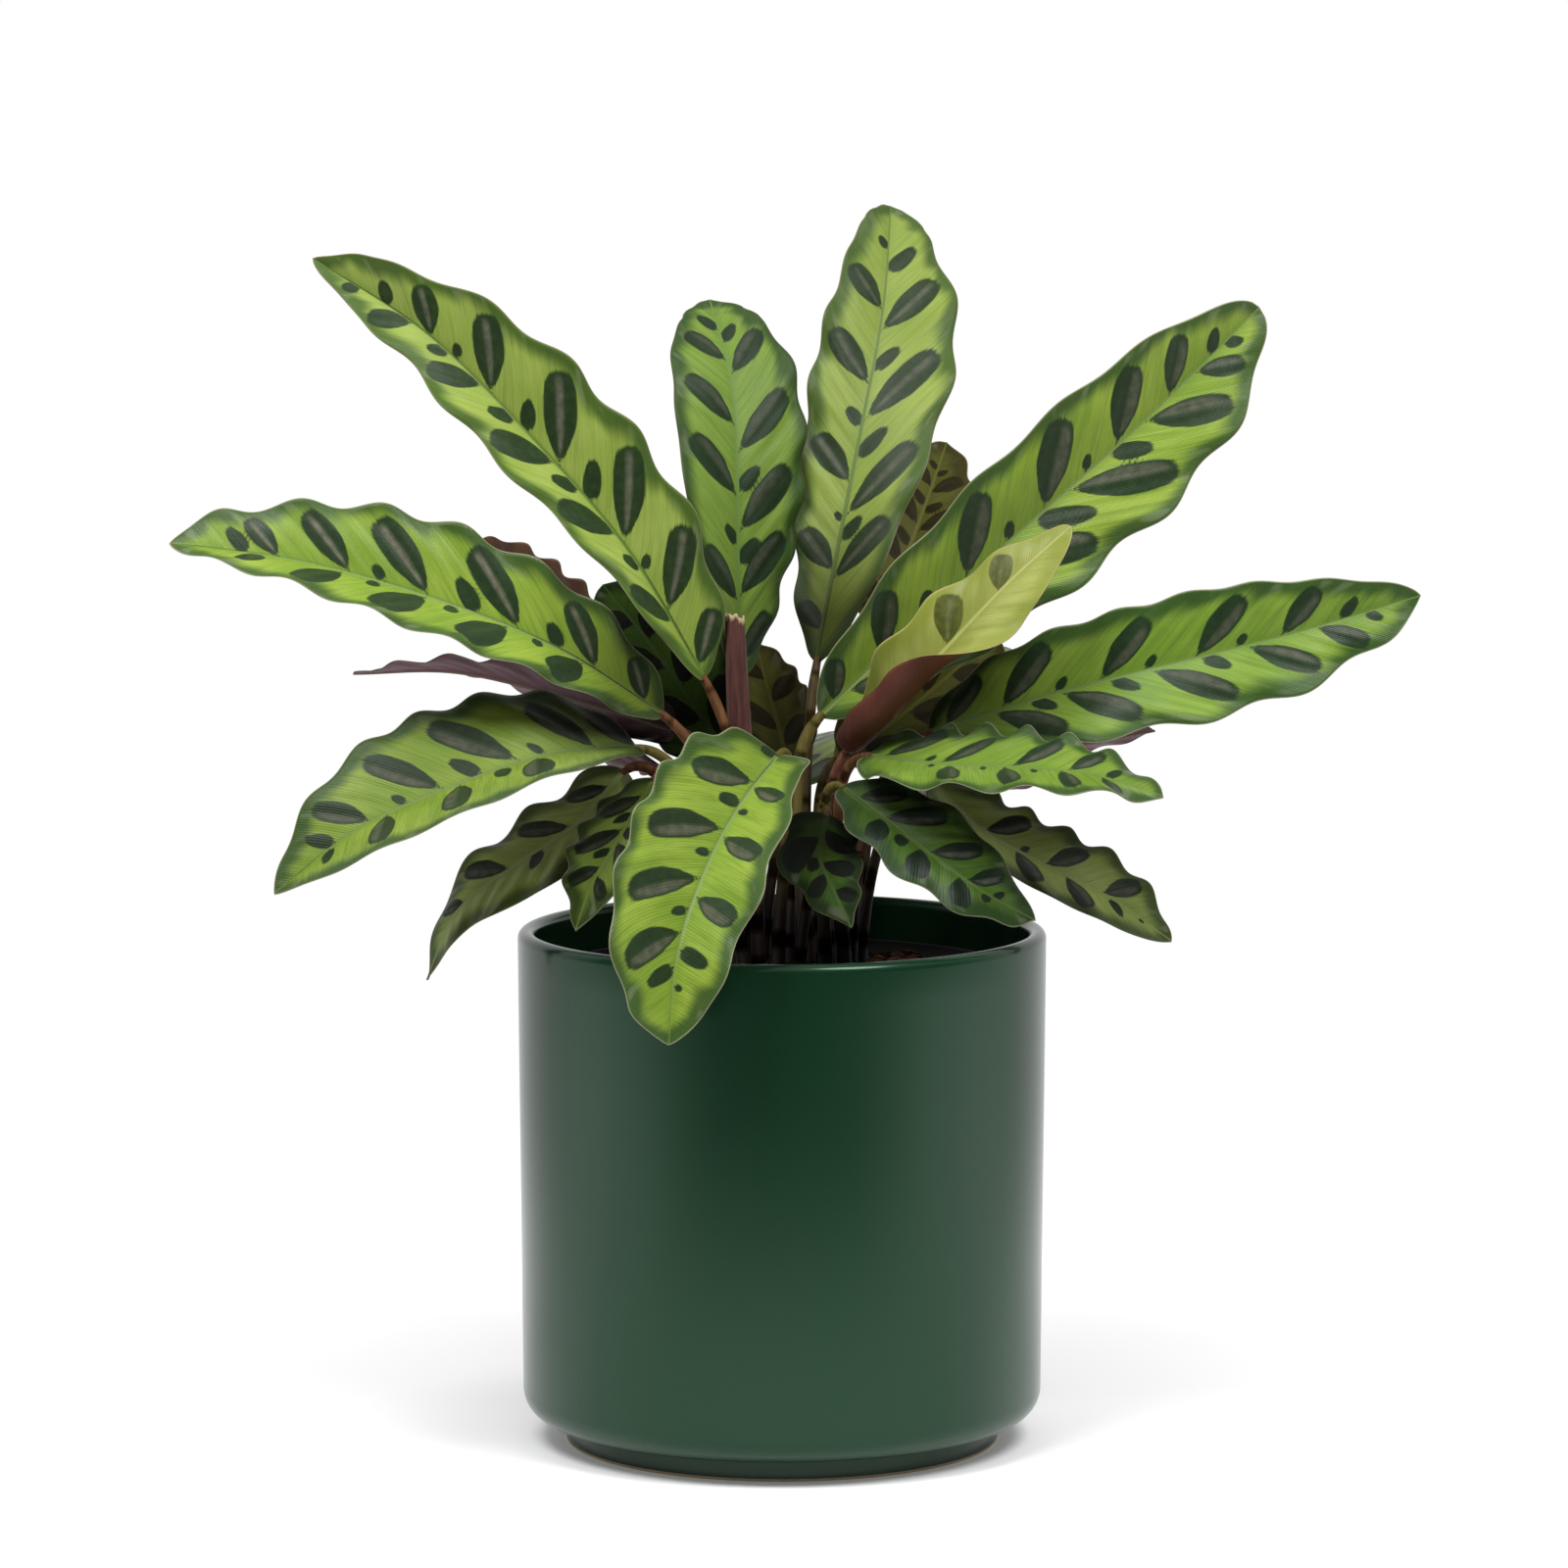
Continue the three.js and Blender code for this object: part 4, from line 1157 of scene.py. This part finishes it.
        rib=[(31, 34, 276), (41, 52, 294), (50, 72, 315), (58, 96, 335)]),
    "back_left_up": dict(
        foot=(-20, 16), width=26, face=(0, 0.85, 0.5), fine=False, stem="brown", paint="bronze",
        under="brown",
        rib=[(-48, 45, 255), (-64, 53, 269), (-84, 63, 285), (-105, 71, 303)]),
    "back_centre": dict(
        foot=(2, 10), width=27, face=(0.3, -1, 0.3), scallop=(0.3, 0.3), fine=False, stem="dark",
        paint="bronze", shade=(0.7, 0.9, 0.25), thick=(1.45, 1.45),
        large=((0.3, 0.7), (0.18, 0.52)),
        rib=[(2, 24, 227), (-1, 34, 240), (-5, 44, 253), (-9, 56, 268)]),
    "back_left_dark": dict(
        foot=(-8, 8), width=42, fine=False, stem="dark", paint="deep", shade=(0.5, 0.7, 0.35),
        thick=(1.45, 1.45),
        large=((0.2, 0.5, 0.76), (0.1, 0.38, 0.66)),
        rib=[(-18, 20, 232), (-33, 29, 253), (-46, 39, 270), (-62, 49, 289)]),
    "back_right_dark": dict(
        foot=(17, 3), width=40, fine=False, stem="dark", paint="bronze", shade=(0.5, 0.8, 0.4),
        thick=(1.45, 1.45),
        large=((0.2, 0.5, 0.76), (0.1, 0.38, 0.66)),
        rib=[(20, 10, 234), (38, 16, 245), (56, 24, 259), (74, 36, 274)]),
    "back_right": dict(
        foot=(27, 13), width=30, face=(0, 0.5, 0.8), fine=False, stem="dark", paint="shade",
        rib=[(44, 24, 231), (75, 40, 231), (103, 52, 233), (130, 60, 237)]),
    "back_right_low": dict(
        foot=(24, 19), width=30, face=(0, 0.5, 0.8), fine=False, stem="dark", paint="shade",
        rib=[(35, 32, 222), (55, 46, 219), (73, 58, 218), (94, 68, 219)]),
    "back_left_low": dict(
        foot=(-19, 8), width=30, face=(0, 0.5, 0.8), fine=False, stem="brown", paint="shade",
        rib=[(-36, 12, 227), (-50, 22, 229), (-67, 34, 232), (-94, 48, 237)]),
    "rear_left": dict(
        foot=(-7, 16), width=38, face=(-0.2, 0.2, 1), fine=False, stem="olive", paint="emerald",
        rib=[(-2, 42, 238), (-22, 76, 258), (-46, 110, 262), (-70, 144, 250)]),
    "rear": dict(
        foot=(3, 18), width=42, face=(0, -0.2, 1), fine=False, stem="olive",
        rib=[(6, 40, 220), (9, 74, 231), (13, 112, 229), (16, 150, 214)]),
    "rear_right": dict(
        foot=(12, 22), width=38, face=(0.2, 0.2, 1), fine=False, stem="olive", paint="emerald",
        rib=[(30, 34, 240), (60, 64, 254), (92, 96, 258), (122, 126, 246)]),
}

upperMaterials = {name: upperMaterial(name) for name in paints}
underMaterials = {name: underMaterial(name) for name in unders}
stemMaterials = {name: stemMaterial(name) for name in stemPaints}
for index, (name, settings) in enumerate(leaves.items()):
    leaf = {**bladeDefaults, **settings}
    makeBlade(name, leaf, index, [upperMaterials[leaf["paint"]], underMaterials[leaf["under"]]])
    makeStem(name, leaf, stemMaterials[leaf["stem"]])
print("stage:", len(leaves), "leaves and stems")


# Sheath round the top left leaf's stem

sheath = {
    "path": [(-13.5, 0.5, 226), (-15, -2.5, 256), (-16, -4, 284)],
    "halfWidth": (4.2, 2.9),
    "depth": 3.0,
    "thickness": 0.7,
    "spread": 100.0,  # degrees each way from the front
    "ragged": 2.4,
    "short": 0.012,  # the share of the path that its end stays short of
    "tipZone": (0.975, 1.0),
    "edgeZone": (0.8, 1.0),
    "grid": (40, 24),
    "steps": 200,
    "colours": ("#482522", "#673f37"),
    "tip": "#b09a78",
    "edge": "#8a6a58",
}


def sheathMaterial():
    p = sheath
    material, place = newMaterial("maroonSheath")
    along, about = place.split("stemPlace")[:2]
    streak = place.stretched((1, 1, 0.05)).grain(1100.0)
    colour = streak.between(0.3, 0.75).paint(*p["colours"])
    colour = (along + streak * 0.03).between(*p["tipZone"]).paint(colour, p["tip"])
    colour = (about.size().between(*p["edgeZone"]) * 0.6).paint(colour, p["edge"])
    return finishMaterial(material, place, colour, 0.5 + (streak - 0.5) * 0.2, streak.bump(0.4, 0.3))


def makeSheath():
    p = sheath
    piece = newPiece("maroon_sheath", slab(p["grid"]), [sheathMaterial()], ["stem_sheath"], "stem_sheath")
    flat = placesOf(piece.data)
    share, about, outer = (flat[:, 0] + 1) / 2, -flat[:, 1], flat[:, 2]
    ragged = np.array([noise.noise((x * 3.1, 0.7, 2.0)) + 0.5 * noise.noise((x * 9.0, 1.7, 5.0))
                       for x in about])
    path = smoothPath(p["path"], p["steps"])
    along = share * (1 - p["short"] - ragged * p["ragged"] / pathLength(path) * share)
    even = np.linspace(0, 1, p["steps"] + 1)
    centre = readRows(np.clip(along, 0, 1), even, path)
    half = p["halfWidth"][0] + (p["halfWidth"][1] - p["halfWidth"][0]) * along
    angle = np.radians(p["spread"]) * about
    layer = p["thickness"] * (outer - 0.5)
    deep = p["depth"] * half / p["halfWidth"][0] + layer
    around = np.stack([np.sin(angle) * (half + layer), -np.cos(angle) * deep, np.zeros(len(angle))], 1)
    putPlaces(piece.data, centre + around)
    keepValues(piece.data, "stemPlace", share, about)


makeSheath()
print("stage: sheath")
